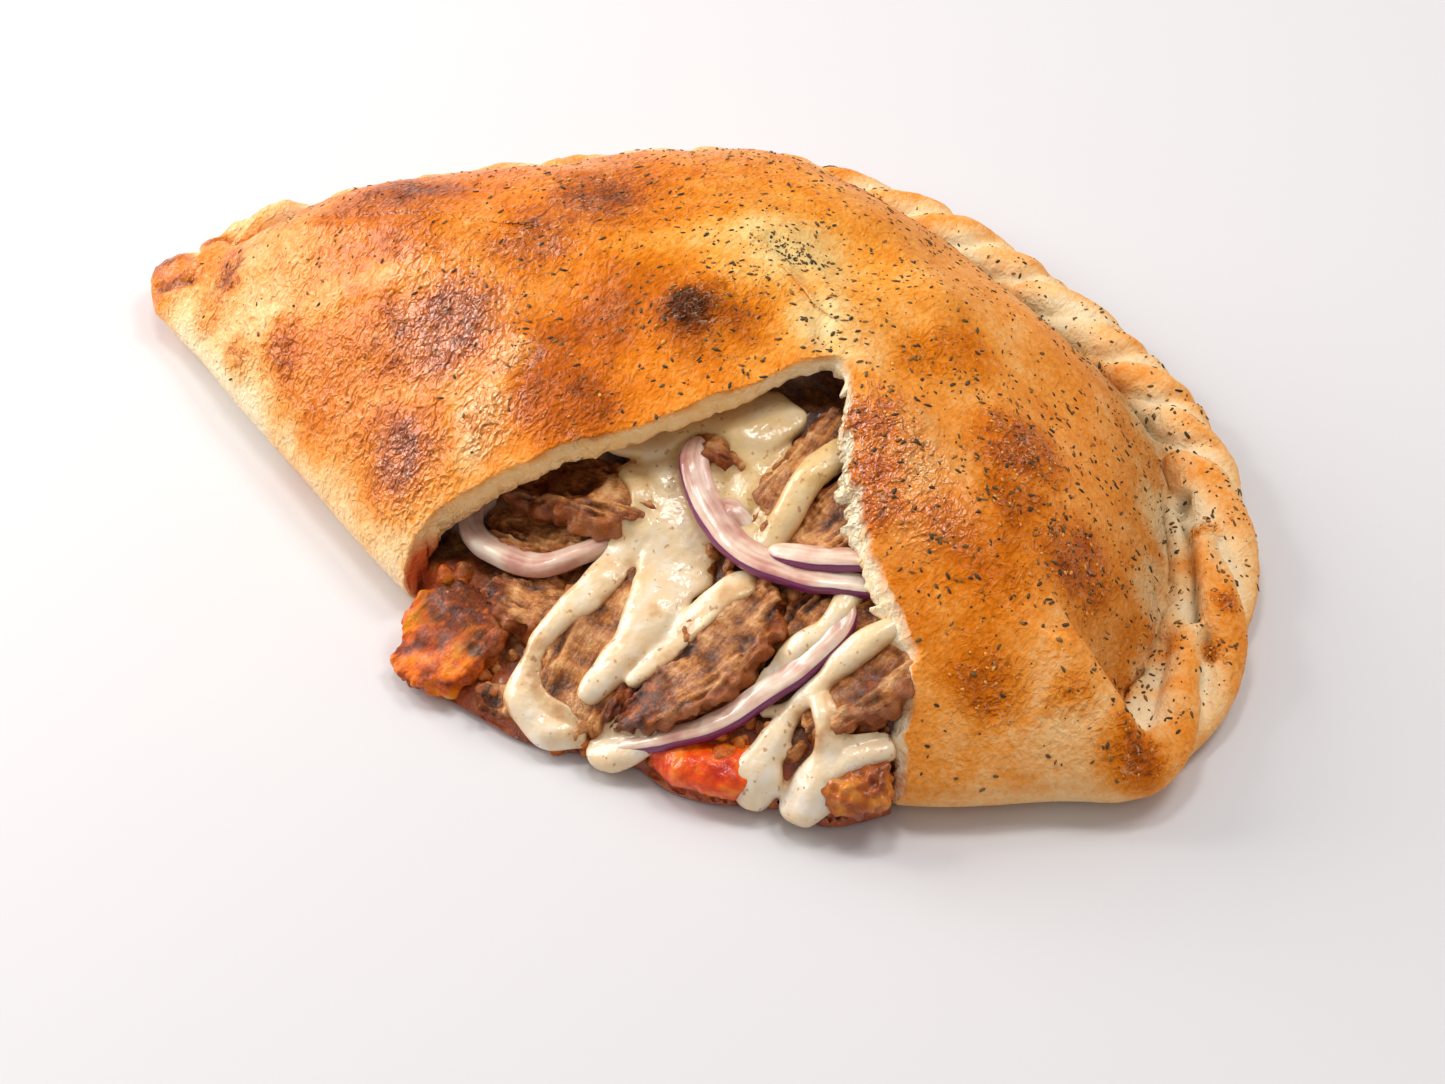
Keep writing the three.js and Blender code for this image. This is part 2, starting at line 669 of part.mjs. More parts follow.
// The filling that runs all through the dough, up to its roof, and spills from the opening.
function fillingCore() {
  const edge = new THREE.CatmullRomCurve3(SPILL.map(([x, y]) => new THREE.Vector3(x, y, 0)));
  const inside = [new THREE.Vector3(60, -40, 0), new THREE.Vector3(10, -60, 0)];
  const plan = [...edge.getSpacedPoints(44), ...inside];
  const centre = new THREE.Vector3(...SPILL_MIDDLE, 0);
  const ring = (share, z) => plan.map((p) => centre.clone().lerp(p, share).setZ(z));
  const spilled = toSolid(
    stackRings([
      [centre.clone().setZ(SPILL_LIFT)],
      ring(0.98, SPILL_LIFT),
      ring(1, SPILL_LIFT + 1.2),
      ring(1, SPILL_TOP),
      [centre.clone().setZ(SPILL_TOP)],
    ]),
  );
  // A block whose upper face is drawn to the core's top, with its corners closest in the opening.
  const far = 160;
  const steps = (from, to, step) => {
    return Array.from({ length: Math.round((to - from) / step) }, (_, i) => from + i * step);
  };
  const xs = [-far, ...steps(-40, 120, 10), far];
  const ys = [-far, ...steps(-109, -85, 4), ...steps(-85, 15, 9), far];
  const block = new THREE.BoxGeometry(1, 1, 1, xs.length - 1, ys.length - 1, 1).translate(0.5, 0.5, 0.5);
  const position = block.attributes.position;
  for (let i = 0; i < position.count; i++) {
    const x = xs[Math.round(position.getX(i) * (xs.length - 1))];
    const y = ys[Math.round(position.getY(i) * (ys.length - 1))];
    position.setXYZ(i, x, y, position.getZ(i) < 0.5 ? -1 : coreTop(x, y));
  }
  return cavity(GAP).add(spilled.subtract(doughCleared)).intersect(toSolid(block));
}

// ---------------------------------------------------------------- pieces of the filling
// A body swept along a path on the heap, with round ends. Squareness 1 gives an oval section, and
// less gives one with flatter faces. Grow makes it larger all round.
function swept({ path, squareness, steps, sides, wobble, seed }, grow) {
  const random = seeded(seed);
  const spots = path.map(([x, y, lift]) => new THREE.Vector3(x, y, heapHeight(x, y) + lift));
  const route = new THREE.CatmullRomCurve3(spots);
  const sizeAt = (u, column) => {
    const at = u * (path.length - 1);
    const i = Math.min(Math.floor(at), path.length - 2);
    return lerp(path[i][column], path[i + 1][column], smooth(at - i, 0, 1));
  };
  const rings = [];
  for (let k = 0; k <= steps; k++) {
    const u = (1 - Math.cos((Math.PI * k) / steps)) / 2;
    const at = route.getPoint(u);
    const along = route.getTangent(u);
    if (k === 0 || k === steps) {
      rings.push([at.addScaledVector(along, k ? grow : -grow)]);
      continue;
    }
    const side = new THREE.Vector3().crossVectors(UP, along).normalize();
    const over = new THREE.Vector3().crossVectors(along, side).normalize();
    const taper = Math.min(1, Math.sin(Math.PI * (k / steps)) * 1.7) ** 0.6;
    const wide = (sizeAt(u, 3) / 2) * taper + grow;
    const thick = (sizeAt(u, 4) / 2) * Math.sqrt(taper) + grow;
    rings.push(
      Array.from({ length: sides }, (_, i) => {
        const a = (2 * Math.PI * i) / sides;
        const rough = 1 + wobble * (random() - 0.5);
        const across = Math.sign(Math.cos(a)) * Math.abs(Math.cos(a)) ** squareness * wide * rough;
        const up = Math.sign(Math.sin(a)) * Math.abs(Math.sin(a)) ** squareness * thick * rough;
        return at.clone().addScaledVector(side, across).addScaledVector(over, up);
      }),
    );
  }
  return toSolid(stackRings(rings));
}

const MEAT = { squareness: 0.6, steps: 6, sides: 8, wobble: 0.16 };
const STRAND = { squareness: 0.9, steps: 8, sides: 6, wobble: 0.06 };
const RING = { squareness: 0.8, steps: 9, sides: 5, wobble: 0 };
const LUMP = { squareness: 0.9, steps: 6, sides: 8, wobble: 0.15 };

const looks = {
  crust: { color: 0xd98f45, roughness: 0.5 },
  filling: { color: 0x8a4f28, roughness: 0.5 },
  meat: { color: 0x7d5032, roughness: 0.5 },
  cheese: { color: 0xf1e6bd, roughness: 0.35 },
  onion: { color: 0xc79ab0, roughness: 0.35 },
  tomato: { color: 0xc7401a, roughness: 0.3 },
  sauce: { color: 0xa8601f, roughness: 0.35 },
};

// A piece made of one or more swept bodies, with the name of its look.
function piece(name, look, form, ...paths) {
  const bodies = paths.map((path, i) => ({ path, ...form, seed: i + name.length }));
  return { name, look, make: (grow) => union(bodies.map((body) => swept(body, grow))) };
}

// Every piece in the order in which it lies, from the top down.
const lying = [
  ...Object.entries(CHEESE).map(([name, paths]) => piece(name, "cheese", STRAND, ...paths)),
  ...Object.entries(ONION).map(([name, path]) => piece(name, "onion", RING, path)),
  ...Object.entries(SLICES).map(([name, path]) => piece(name, "meat", MEAT, path)),
  piece("crumb", "meat", LUMP, CRUMB),
  ...Object.entries(LUMPS).map(([name, path]) => piece(name, name, LUMP, path)),
];

// Each piece gives way, by the gap, to those that lie on it and to the dough.
const root = new THREE.Group();
const bareDough = mainPiece(dough(0));
const crust = mainPiece(bareDough.add(union(herbFlecks(bareDough))));
root.add(toMesh("crust", crust, looks.crust));
const covers = [];
for (const { name, look, make } of lying) {
  const clear = covers.length ? make(0).subtract(union(covers)) : make(0);
  const solid = mainPiece(clear.subtract(doughCleared).trimByPlane([0, 0, 1], SPILL_LIFT));
  root.add(toMesh(name, solid, looks[look]));
  covers.push(make(GAP));
}
const filling = mainPiece(fillingCore().subtract(union(covers)));
root.add(toMesh("filling", filling, looks.filling));

export default root;
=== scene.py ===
# A calzone: pizza dough folded over sliced meat, melted cheese, red onion and tomato, crimped round
# its back and baked. A wedge of the top has been cut away, and the filling spills out of it.
#
# The frame is the part's own: metres, +Z up, +X from the pointed tip to the blunt end, -Y the folded
# side with the opening. Sizes of the food are written in millimetres, and MM turns them into metres.
import math
import random

import bpy
import numpy as np
from mathutils import Matrix, Vector, noise
from mathutils.bvhtree import BVHTree
from mathutils.kdtree import KDTree


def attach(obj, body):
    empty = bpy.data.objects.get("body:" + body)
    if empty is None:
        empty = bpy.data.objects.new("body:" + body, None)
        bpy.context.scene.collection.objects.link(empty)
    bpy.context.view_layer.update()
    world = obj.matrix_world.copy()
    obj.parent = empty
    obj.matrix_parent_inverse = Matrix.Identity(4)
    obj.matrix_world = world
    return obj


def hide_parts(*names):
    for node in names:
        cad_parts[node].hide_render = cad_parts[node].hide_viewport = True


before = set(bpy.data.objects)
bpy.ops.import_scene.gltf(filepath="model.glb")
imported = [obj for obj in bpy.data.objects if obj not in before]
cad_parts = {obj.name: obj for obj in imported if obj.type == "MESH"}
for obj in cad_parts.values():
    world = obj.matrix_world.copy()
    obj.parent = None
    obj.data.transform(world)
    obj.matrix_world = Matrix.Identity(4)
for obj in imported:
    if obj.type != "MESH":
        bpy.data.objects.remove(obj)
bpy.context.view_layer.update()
MM = 0.001


# ---------------------------------------------------------------- the view
# A camera with a long lens looks down at the front of the calzone from the right.
VIEW_TURN = math.radians(36.5)
VIEW_RISE = math.radians(45.4)
VIEW_DISTANCE = 0.747
VIEW_TARGET = Vector((0.0195, -0.0275, 0))

towards_camera = Vector(
    (
        math.sin(VIEW_TURN) * math.cos(VIEW_RISE),
        -math.cos(VIEW_TURN) * math.cos(VIEW_RISE),
        math.sin(VIEW_RISE),
    )
)
bpy.ops.object.camera_add(location=VIEW_TARGET + VIEW_DISTANCE * towards_camera)
camera = bpy.context.object
camera.rotation_euler = (-towards_camera).to_track_quat("-Z", "Y").to_euler()
camera.data.lens = 80
camera.data.sensor_width = 36
camera.data.clip_start = 0.01
bpy.context.scene.camera = camera


# ---------------------------------------------------------------- the table and the light
# A near-white table top. A large window on the left lights the dough, two small ones above it shine in
# the oil on its skin, and a ceiling light and the bright room fill the shadows.
def linear(red, green, blue):
    """A screen colour, 0 to 255, as the linear colour that a shader takes."""
    share = np.array([red, green, blue]) / 255
    return (*np.where(share < 0.04045, share / 12.92, ((share + 0.055) / 1.055) ** 2.4), 1.0)


def new_material(name, **settings):
    """A material with a Principled shader, with plain values set on its own sockets."""
    material = bpy.data.materials.new(name)
    material.use_nodes = True
    shader = material.node_tree.nodes["Principled BSDF"]
    for socket, value in settings.items():
        shader.inputs[socket.replace("_", " ")].default_value = value
    return material


bpy.ops.mesh.primitive_plane_add(size=6, location=(0, 0, 0))
table = bpy.context.object
table.name = "table"
table.data.materials.append(new_material("table", Base_Color=linear(217, 214, 215), Roughness=0.6))

world = bpy.data.worlds.new("room")
bpy.context.scene.world = world
world.use_nodes = True
world.node_tree.nodes["Background"].inputs["Color"].default_value = (1.0, 0.99, 0.98, 1)
world.node_tree.nodes["Background"].inputs["Strength"].default_value = 0.44


def window(name, place, size, power, colour):
    """A soft rectangular light that faces the calzone."""
    bpy.ops.object.light_add(type="AREA", location=place)
    lamp = bpy.context.object
    lamp.name = name
    lamp.rotation_euler = (-Vector(place)).to_track_quat("-Z", "Y").to_euler()
    lamp.data.shape = "RECTANGLE"
    lamp.data.size, lamp.data.size_y = size
    lamp.data.energy = power
    lamp.data.color = colour


window("left window", (-0.9, -0.16, 0.42), (0.9, 0.45), 9.6, (1.0, 0.97, 0.94))
window("upper left window", (-0.7, -0.2, 0.66), (0.15, 0.15), 1.5, (1.0, 0.98, 0.95))
window("overhead window", (-0.15, 0.06, 1.0), (0.25, 0.17), 2.3, (1.0, 1.0, 1.0))
window("ceiling light", (0.3, 0.4, 1.0), (0.4, 0.3), 3.6, (1.0, 1.0, 1.0))
bpy.context.scene.view_settings.view_transform = "Standard"


# ---------------------------------------------------------------- the crust
# The round of dough is folded over, closed along the back with slanting pleats, and baked, so that it
# domes and blisters. It is laid out as rings of stations: the flat base, the rim and the dome.
OUTLINE = np.array(
    [
        (-145, -43),  # pointed tip
        (-112, -60),
        (-71, -74),
        (-23, -89),  # left foot of the opening
        (22, -94),
        (66, -88),
        (102, -72),  # right foot of the opening
        (127, -52),
        (139, -43),
        (143, -31),  # blunt end
        (138, 4),
        (119, 41),
        (88, 70),
        (39, 88),
        (-10, 94),
        (-55, 82),
        (-96, 46),
        (-130, 0),
    ],
    float,
)
TIP_SIDE, BLUNT_END, BACK_MIDDLE = 1, 9, 14  # places in that list
CURVE_STEPS = 80  # between two of its points

DOME_TOP = 60
DOME_MIDDLE = np.array([14.0, 2.0])
WALL = 4
FOLD_HEIGHT = 10
FOLD_UNDERCUT = 9
FOLD_FULLNESS = 0.69  # the smaller a fullness, the sooner the dome rises from its edge
FOLD_RIM = 0.2
END_FULLNESS = 0.74
SHOULDER_FULLNESS = 0.92
BACK_FULLNESS = 0.66
TIP_THINNING = 0.6
TIP_REACH = 50
CRIMP_HEIGHT = 13
CRIMP_WIDTH = 15
END_WIDTH = 19
TIP_WIDTH = 6
VALLEY_HEIGHT = 8
CRIMP_PITCH = 19
END_PITCH = 36
END_STARTS = 335
PLEAT_SLANT = 120  # degrees up the rim in which a pleat slants by its own pitch
PLEAT_DEPTH = 3.2
END_PLEAT_DEPTH = 5
DOME_BLEND = 50  # how far to each side the change from fold to crimp has spread at the top
END_BLEND_RISE = 0.4  # the smaller, the sooner it spreads above the blunt end
SLOW_WAVE = 0.9
QUICK_WAVE = 0.6

# Blisters and the hollows between them: plan place, radius, height.
BLISTERS = [
    (5, -18, 10, 2.8),
    (-68, -42, 15, 1.8),
    (-50, 12, 13, 1.6),
    (-52, -62, 9, 1.4),
    (62, -18, 10, 1.8),
    (84, 0, 15, 2.4),
    (106, -12, 11, 1.6),
    (106, -46, 12, 1.8),
    (46, 22, 9, 1.6),
    (-112, -44, 8, 1.6),
    (-96, -14, 14, 1.4),
    (18, 46, 12, 1.4),
    (22, 18, 14, -4),
    (-22, -30, 12, -1.6),
    (112, 18, 12, -1.5),
]

AROUND_STEPS = 640
BASE_RINGS = 6
RIM_RINGS = 30
DOME_RINGS = 88
RINGS = BASE_RINGS + RIM_RINGS + DOME_RINGS


def smooth(x, low, high):
    """0 below low, 1 above high, and an even rise between them."""
    share = np.clip((x - low) / (high - low), 0, 1)
    return share * share * (3 - 2 * share)


def mix(a, b, share):
    return a + (b - a) * share


def through(points, steps, closed=False):
    """A curve through points, with so many steps from each to the next."""
    points = np.asarray(points, float)
    before, after = 2 * points[:1] - points[1:2], 2 * points[-1:] - points[-2:-1]
    if closed:
        before, after = points[-1:], points[:2]
    line = np.concatenate([before, points, after])
    t = (np.arange(steps) / steps)[:, None]
    spans = []
    for p0, p1, p2, p3 in zip(line, line[1:], line[2:], line[3:]):
        bend = (2 * p0 - 5 * p1 + 4 * p2 - p3) * t**2 + (-p0 + 3 * p1 - 3 * p2 + p3) * t**3
        spans.append(0.5 * (2 * p1 + (p2 - p0) * t + bend))
    return np.concatenate(spans + ([] if closed else [points[-1:]]))


def lengths_along(line):
    return np.concatenate([[0], np.cumsum(np.linalg.norm(np.diff(line, axis=0), axis=1))])


edge_line = through(OUTLINE, CURVE_STEPS, closed=True)
edge_line = np.concatenate([edge_line, edge_line[:1]])
edge_lengths = lengths_along(edge_line)
AROUND = edge_lengths[-1]
TIP_SIDE_AT, BLUNT_END_AT, BACK_MIDDLE_AT = (
    edge_lengths[place * CURVE_STEPS] for place in (TIP_SIDE, BLUNT_END, BACK_MIDDLE)
)


def on_edge(s):
    """Plan places at lengths s along the outline, and the directions that point inwards there."""
    def at(length):
        return np.stack([np.interp(length % AROUND, edge_lengths, edge_line[:, i]) for i in (0, 1)], axis=-1)

    ahead = at(s + 1.0) - at(s - 1.0)
    ahead /= np.linalg.norm(ahead, axis=-1, keepdims=True)
    return at(s), np.stack([-ahead[..., 1], ahead[..., 0]], axis=-1)


def crimp_share(s, t):
    """0 where the dough is folded and 1 where it is crimped. Up the dome the change is gradual."""
    at_tip, at_end = DOME_BLEND * t, DOME_BLEND * t**END_BLEND_RISE
    along = np.where(s < TIP_SIDE_AT + DOME_BLEND, s + AROUND, s)
    begun = smooth(along, BLUNT_END_AT - 14 - at_end, BLUNT_END_AT + 8 + at_end)
    return begun * (1 - smooth(along, AROUND - 20 - at_tip, AROUND - 2 + at_tip))


def end_share(s):
    """1 round the blunt end, where the pleats are long, and 0 along the back."""
    return smooth(AROUND - s, END_STARTS - END_PITCH / 2, END_STARTS + END_PITCH / 2)


def crimp_width(s):
    """How wide the crimp is, which is narrowest at the tip and widest round the blunt end."""
    return mix(TIP_WIDTH, mix(CRIMP_WIDTH, END_WIDTH, end_share(s)), smooth(AROUND - s, 0, 110))


def pleat_phase(s):
    """How many pleats there are between the tip and lengths s, counted along the back."""
    along = AROUND - s
    return np.minimum(along, END_STARTS) / CRIMP_PITCH + np.maximum(0, along - END_STARTS) / END_PITCH


def thickness(x, y):
    """The share of its height that the dough has at a place: it thins out towards the tip."""
    return mix(TIP_THINNING, 1, smooth(np.hypot(x - OUTLINE[0, 0], y - OUTLINE[0, 1]), 0, TIP_REACH))


def top_relief(x, y):
    """Broad waves of the top, and its blisters and hollows."""
    relief = SLOW_WAVE * np.sin(x / 17 + 1) * np.cos(y / 14) + QUICK_WAVE * np.sin((x + 2 * y) / 11)
    for place_x, place_y, radius, height in BLISTERS:
        relief = relief + height * np.exp(-1.6 * ((x - place_x) ** 2 + (y - place_y) ** 2) / radius**2)
    return relief


def fold_height(t):
    """The height at a share t of the way from the folded edge to the middle."""
    return FOLD_HEIGHT + (DOME_TOP - FOLD_HEIGHT) * (1 - (1 - t) ** 2.1) ** FOLD_FULLNESS


def crimped_height(t, s):
    """The height at a share t of the way from the valley behind the crimp to the middle."""
    steep = smooth(s, BACK_MIDDLE_AT - 60, BACK_MIDDLE_AT + 40)
    shoulder = mix(END_FULLNESS, SHOULDER_FULLNESS, smooth(s, BLUNT_END_AT, BLUNT_END_AT + 90))
    fullness = mix(shoulder, BACK_FULLNESS, steep)
    return VALLEY_HEIGHT + (DOME_TOP - VALLEY_HEIGHT) * (1 - (1 - t) ** 2.2) ** fullness


def pleat_shape(turns):
    """How high a pleat stands, from 0 to 1, at a number of turns along the crimp."""
    return 1 - np.abs(2 * (turns % 1) ** 0.75 - 1) ** 2.2


def rim_ring(s, angle):
    """The rim at an angle: -90 is underneath, 0 the widest line, 90 on top and 165 in the valley."""
    at, inward = on_edge(s)
    a = math.radians(angle)
    share = crimp_share(s, 0)
    half = crimp_width(s) / 2
    ridge = pleat_shape(pleat_phase(s) + angle / PLEAT_SLANT)
    past_end = smooth(s, BLUNT_END_AT + 50, BLUNT_END_AT + 85)
    exposed = smooth(angle, -60, -10) * (1 - 0.6 * smooth(angle, 130, 165))
    exposed = exposed * (1 - 0.8 * smooth(angle, 60, 110) * (1 - past_end))
    swell = mix(PLEAT_DEPTH, END_PLEAT_DEPTH, end_share(s)) * (ridge - 0.6) * exposed
    crimp_in = half - (half + swell) * math.cos(a)
    crimp_up = CRIMP_HEIGHT / 2 + (CRIMP_HEIGHT / 2 + swell) * math.sin(a)
    if angle > 0:
        t = FOLD_RIM * (angle / 165) ** 1.4
        fold_in, fold_up = 0, fold_height(t)
    else:
        t = 0
        fold_in, fold_up = FOLD_UNDERCUT * (1 - math.cos(a)), FOLD_HEIGHT * (1 + math.sin(a))
    plan = at + inward * mix(fold_in, crimp_in, share)[:, None]
    plan = plan + (DOME_MIDDLE - at) * (t * (1 - share))[:, None]
    thin = mix(thickness(*at.T), thickness(*plan.T), smooth(angle, 0, 165))
    return np.column_stack([plan, mix(fold_up, crimp_up, share) * thin])


def dome_ring(s, t):
    """The top, at a share t of the way from the rim's last ring to the middle."""
    at, inward = on_edge(s)
    share = crimp_share(s, t)[:, None]
    fold_t = FOLD_RIM + (1 - FOLD_RIM) * t
    valley = at + inward * crimp_width(s)[:, None]
    plan = mix(mix(at, DOME_MIDDLE, fold_t), mix(valley, DOME_MIDDLE, t), share)
    high = mix(fold_height(fold_t), crimped_height(t, s), share[:, 0]) * thickness(*plan.T)
    return np.column_stack([plan, high + top_relief(*plan.T) * smooth(t, 0.02, 0.3)])


def vertices_of(piece):
    places = np.empty(len(piece.data.vertices) * 3)
    piece.data.vertices.foreach_get("co", places)
    return places.reshape(-1, 3)


def place_vertices(piece, places):
    piece.data.vertices.foreach_set("co", np.ascontiguousarray(places, float).ravel())
    piece.data.update()


def wrapped(name, rings, **values):
    """A closed piece from rings of places in millimetres: a grid is wrapped round them and merged.
    Each of the values is a number, or three, for each place of the rings."""
    count, around = rings.shape[:2]
    bpy.ops.mesh.primitive_grid_add(x_subdivisions=around, y_subdivisions=count - 1, size=2, calc_uvs=False)
    piece = bpy.context.object
    piece.name = name
    x, y, _ = vertices_of(piece).T
    place = np.rint((x + 1) / 2 * around).astype(int) % around
    ring = np.rint((y + 1) / 2 * (count - 1)).astype(int)
    place_vertices(piece, rings[ring, place] * MM)
    for value, numbers in values.items():
        kind, field = ("FLOAT", "value") if numbers.ndim == 2 else ("FLOAT_VECTOR", "vector")
        kept = piece.data.attributes.new(value, kind, "POINT")
        kept.data.foreach_set(field, numbers[ring, place].astype(np.float32).ravel())
    bpy.ops.object.mode_set(mode="EDIT")
    bpy.ops.mesh.select_all(action="SELECT")
    bpy.ops.mesh.remove_doubles(threshold=1e-7)
    bpy.ops.object.mode_set(mode="OBJECT")
    return piece


def dough_grid(around, base, rim_angles, dome_shares):
    """Rings of places over the whole dough, from the middle of the base to the top."""
    s = np.arange(around) / around * AROUND
    foot = rim_ring(s, -90)
    foot[:, 2] = 0
    middle = np.array([*DOME_MIDDLE, 0])
    rings = [mix(middle, foot, share) for share in base]
    rings += [rim_ring(s, angle) for angle in rim_angles]
    rings += [dome_ring(s, t) for t in dome_shares]
    return np.array(rings)


base_shares = np.linspace(0, 1, BASE_RINGS + 1)
rim_angles = -90 + 255 * np.arange(1, RIM_RINGS + 1) / RIM_RINGS
dome_shares = np.arange(1, DOME_RINGS + 1) / DOME_RINGS
skin = dough_grid(AROUND_STEPS, base_shares, rim_angles, dome_shares)

# Folds, slits and ridges of the dough: the line in the plan, its half width, and its depth or, if it
# is less than 0, its height. The deepest for their width are slits, painted dark inside, a painted shade.
FOLDS = [
    ([(103, 38), (108, 31), (115, 21), (121, 12), (125, 6)], 1.5, 3.4),  # the crimp's end, tucked in
    ([(112, 31), (121, 18), (130, 7)], 3.6, -2.0),
    ([(118, 27), (126, 15), (132, 5)], 1.1, 1.2),
    ([(130, 3), (133, -1)], 1.6, 2.4),
    ([(122, -3), (126, -12), (130, -22), (133, -30)], 2.3, 2.8),
    ([(119, -3), (122, -12), (127, -23)], 1.6, -1.1),
    ([(127, 1), (131, -8), (135, -20)], 3.0, -1.8),
    ([(134, -2), (139, -12)], 1.3, 1.2),
    ([(7, 9), (16, 7), (27, -2), (36, -12)], 2.6, 1.3),
    ([(-24, -42), (-22, -56), (-23, -70)], 3.2, -0.9),
    ([(-80, -48), (-69, -42), (-60, -37)], 3.0, -0.7),
    ([(-139, -48), (-134, -48), (-129, -45)], 1.1, 1.5),  # the tip, pinched and folded over
    ([(-134, -50), (-131, -42), (-133, -30)], 2.6, -1.8),
    ([(-141, -33), (-136, -37)], 1.8, 2.6),
    ([(-140, -18), (-133, -8)], 3.5, -2.4),
    ([(-116, -42), (-118, -47)], 0.9, 1.3),
    ([(12, 79), (17, 90)], 1.6, 1.6),
    ([(29, 75), (35, 88)], 1.6, 1.6),
    ([(63, 66), (70, 78)], 1.6, 1.6),
    ([(80, 60), (88, 70)], 1.6, 1.6),
    ([(91, 50), (101, 58)], 1.6, 1.6),
]
SLIT_SHAPE = 1.3  # depth over half width
SLIT_HALF_WIDTH = 1.2
TIP_CURL = 3.4  # how far the pointed tip has lifted


def outward(grid):
    """The direction in which each place of a grid of rings faces."""
    around = np.roll(grid, -1, axis=1) - np.roll(grid, 1, axis=1)
    up = np.gradient(grid, axis=0)
    facing = np.cross(around, up)
    return facing / np.maximum(np.linalg.norm(facing, axis=-1, keepdims=True), 1e-9)


def grain(places, size, seed=0.0):
    """Even random unevenness, from about -1 to 1, in lumps of a size in millimetres."""
    shape = places.shape[:-1]
    flat = places.reshape(-1, 3) / size + (seed, 2.3 * seed, -seed)
    return np.array([noise.noise(p) for p in flat.tolist()]).reshape(shape)


def away_from(places, line):
    """How far places are from a line of points in the plan."""
    least = np.full(places.shape[:-1], 1e9)
    for a, b in zip(line, line[1:]):
        a, b = np.array(a, float), np.array(b, float)
        share = np.clip((places[..., :2] - a) @ (b - a) / ((b - a) @ (b - a)), 0, 1)
        least = np.minimum(least, np.linalg.norm(places[..., :2] - a - share[..., None] * (b - a), axis=-1))
    return least


# Browned patches: place, radius, and how dark. Where the oven caught a blister the skin is thin,
# wrinkled and almost mahogany.
BROWNED = [
    (-45, -46, 46, 14, 0.3),
    (-42, -44, 47, 8, 0.4),
    (-55, -53, 41, 12, 0.26),
    (-37, -73, 29, 13, 0.32),
    (-38, -70, 32, 7, 0.42),
    (-99, -61, 18, 6, 0.22),
    (-86, -58, 27, 8, 0.26),
    (-119, -44, 23, 8, 0.24),
    (-117, -53, 16, 7, 0.24),
    (-42, -18, 55, 12, 0.18),
    (-37, 4, 54, 14, 0.2),
    (-84, -14, 46, 14, 0.2),
    (-92, -24, 43, 8, 0.18),
    (-69, -29, 49, 9, 0.18),
    (-3, -51, 48, 11, 0.26),
    (-13, -53, 47, 8, 0.18),
    (-12, -33, 53, 11, 0.12),
    (5, -20, 59, 9, 0.54),
    (9, -17, 60, 14, 0.28),
    (57, -21, 56, 7, 0.34),
    (63, -32, 52, 7, 0.28),
    (69, -39, 48, 6, 0.24),
    (81, -2, 46, 13, 0.32),
    (83, -5, 46, 8, 0.4),
    (89, -16, 43, 10, 0.28),
    (103, -13, 33, 13, 0.3),
    (106, -51, 29, 9, 0.28),
    (137, -38, 17, 9, 0.4),
    (133, -43, 16, 5, 0.2),
    (54, 9, 52, 10, 0.17),
    (52, 1, 54, 6, 0.14),
    (122, -42, 27, 6, 0.22),
    (78, -31, 48, 7, 0.06),
    (95, -30, 41, 11, 0.14),
    (112, 31, 13, 3.5, 0.45),
    (128, 12, 14, 4, 0.3),
    (133, 1, 13, 3.5, 0.35),
    (-117, -44, 24, 3, 0.2),
    (-144, -39, 9, 7, 0.38),
    (-140, -27, 11, 7, 0.34),
    (-136, -48, 9, 3, 0.2),
    (-131, -46, 11, 3, 0.24),
]
# Places that stayed pale, in the same way.
PALE = [
    (-74, -71, 16, 6, 0.18),
    (7, -7, 60, 11, 0.16),
    (10, 9, 60, 17, 0.22),
    (43, -7, 58, 8, 0.2),
    (-10, 1, 60, 10, 0.1),
    (30, -7, 60, 10, 0.26),
    (-24, -45, 49, 5, 0.14),
    (-22, -56, 44, 5, 0.08),
    (-22, -67, 37, 5, 0.14),
    (-80, -48, 37, 6, 0.08),
    (-69, -42, 43, 6, 0.08),
    (-100, -32, 40, 14, 0.06),
    (-112, -39, 31, 10, 0.08),
    (-125, -55, 11, 12, 0.22),
    (-90, -68, 11, 12, 0.16),
    (-55, -79, 11, 16, 0.16),
    (-36, -85, 11, 12, 0.16),
    (-100, -55, 28, 10, 0.14),
    (115, 6, 12, 9, 0.26),
    (104, 30, 10, 10, 0.3),
    (82, 54, 10, 10, 0.3),
    (45, 71, 10, 11, 0.3),
    (15, 77, 10, 10, 0.3),
    (126, -12, 12, 6, 0.34),
    (131, -23, 13, 5, 0.3),
    (-134, -42, 12, 6, 0.06),
]

# Places where the skin puckered as it dried, in the same way.
PUCKERED = [
    (64, -32, 52, 17, 1.1),
    (57, -22, 56, 12, 1.1),
    (-44, -45, 46, 19, 0.7),
    (-22, -56, 44, 9, 0.5),
    (5, -20, 59, 12, 0.8),
]


def strongest(places, listed, full, none):
    """The strongest of the listed spots at each place. A spot is whole up to a share of its radius,
    full, and has faded away at another, none."""
    found = np.zeros(places.shape[:-1])
    for *middle, radius, strength in listed:
        away = np.linalg.norm(places - middle, axis=-1)
        found = np.maximum(found, strength * (1 - smooth(away, full * radius, none * radius)))
    return found


def wander(places, by, size, seeds):
    """How places are moved about, one seed for each axis, so that what is drawn on them is ragged."""
    return by * np.stack([grain(places, size, seed) for seed in seeds], axis=-1)


def patches(places, listed):
    """The listed patches of the skin at each place, with ragged edges."""
    moved = places + wander(places, 3.2, 13, (3, 4, 5)) + wander(places, 1.3, 4.5, (6, 7, 8))
    return strongest(moved, listed, 0.15, 1.45)


def mound(places, x, y, reach):
    """1 at a place of the plan, and less the further from it."""
    return np.exp(-((places[..., 0] - x) ** 2 + (places[..., 1] - y) ** 2) / reach**2)


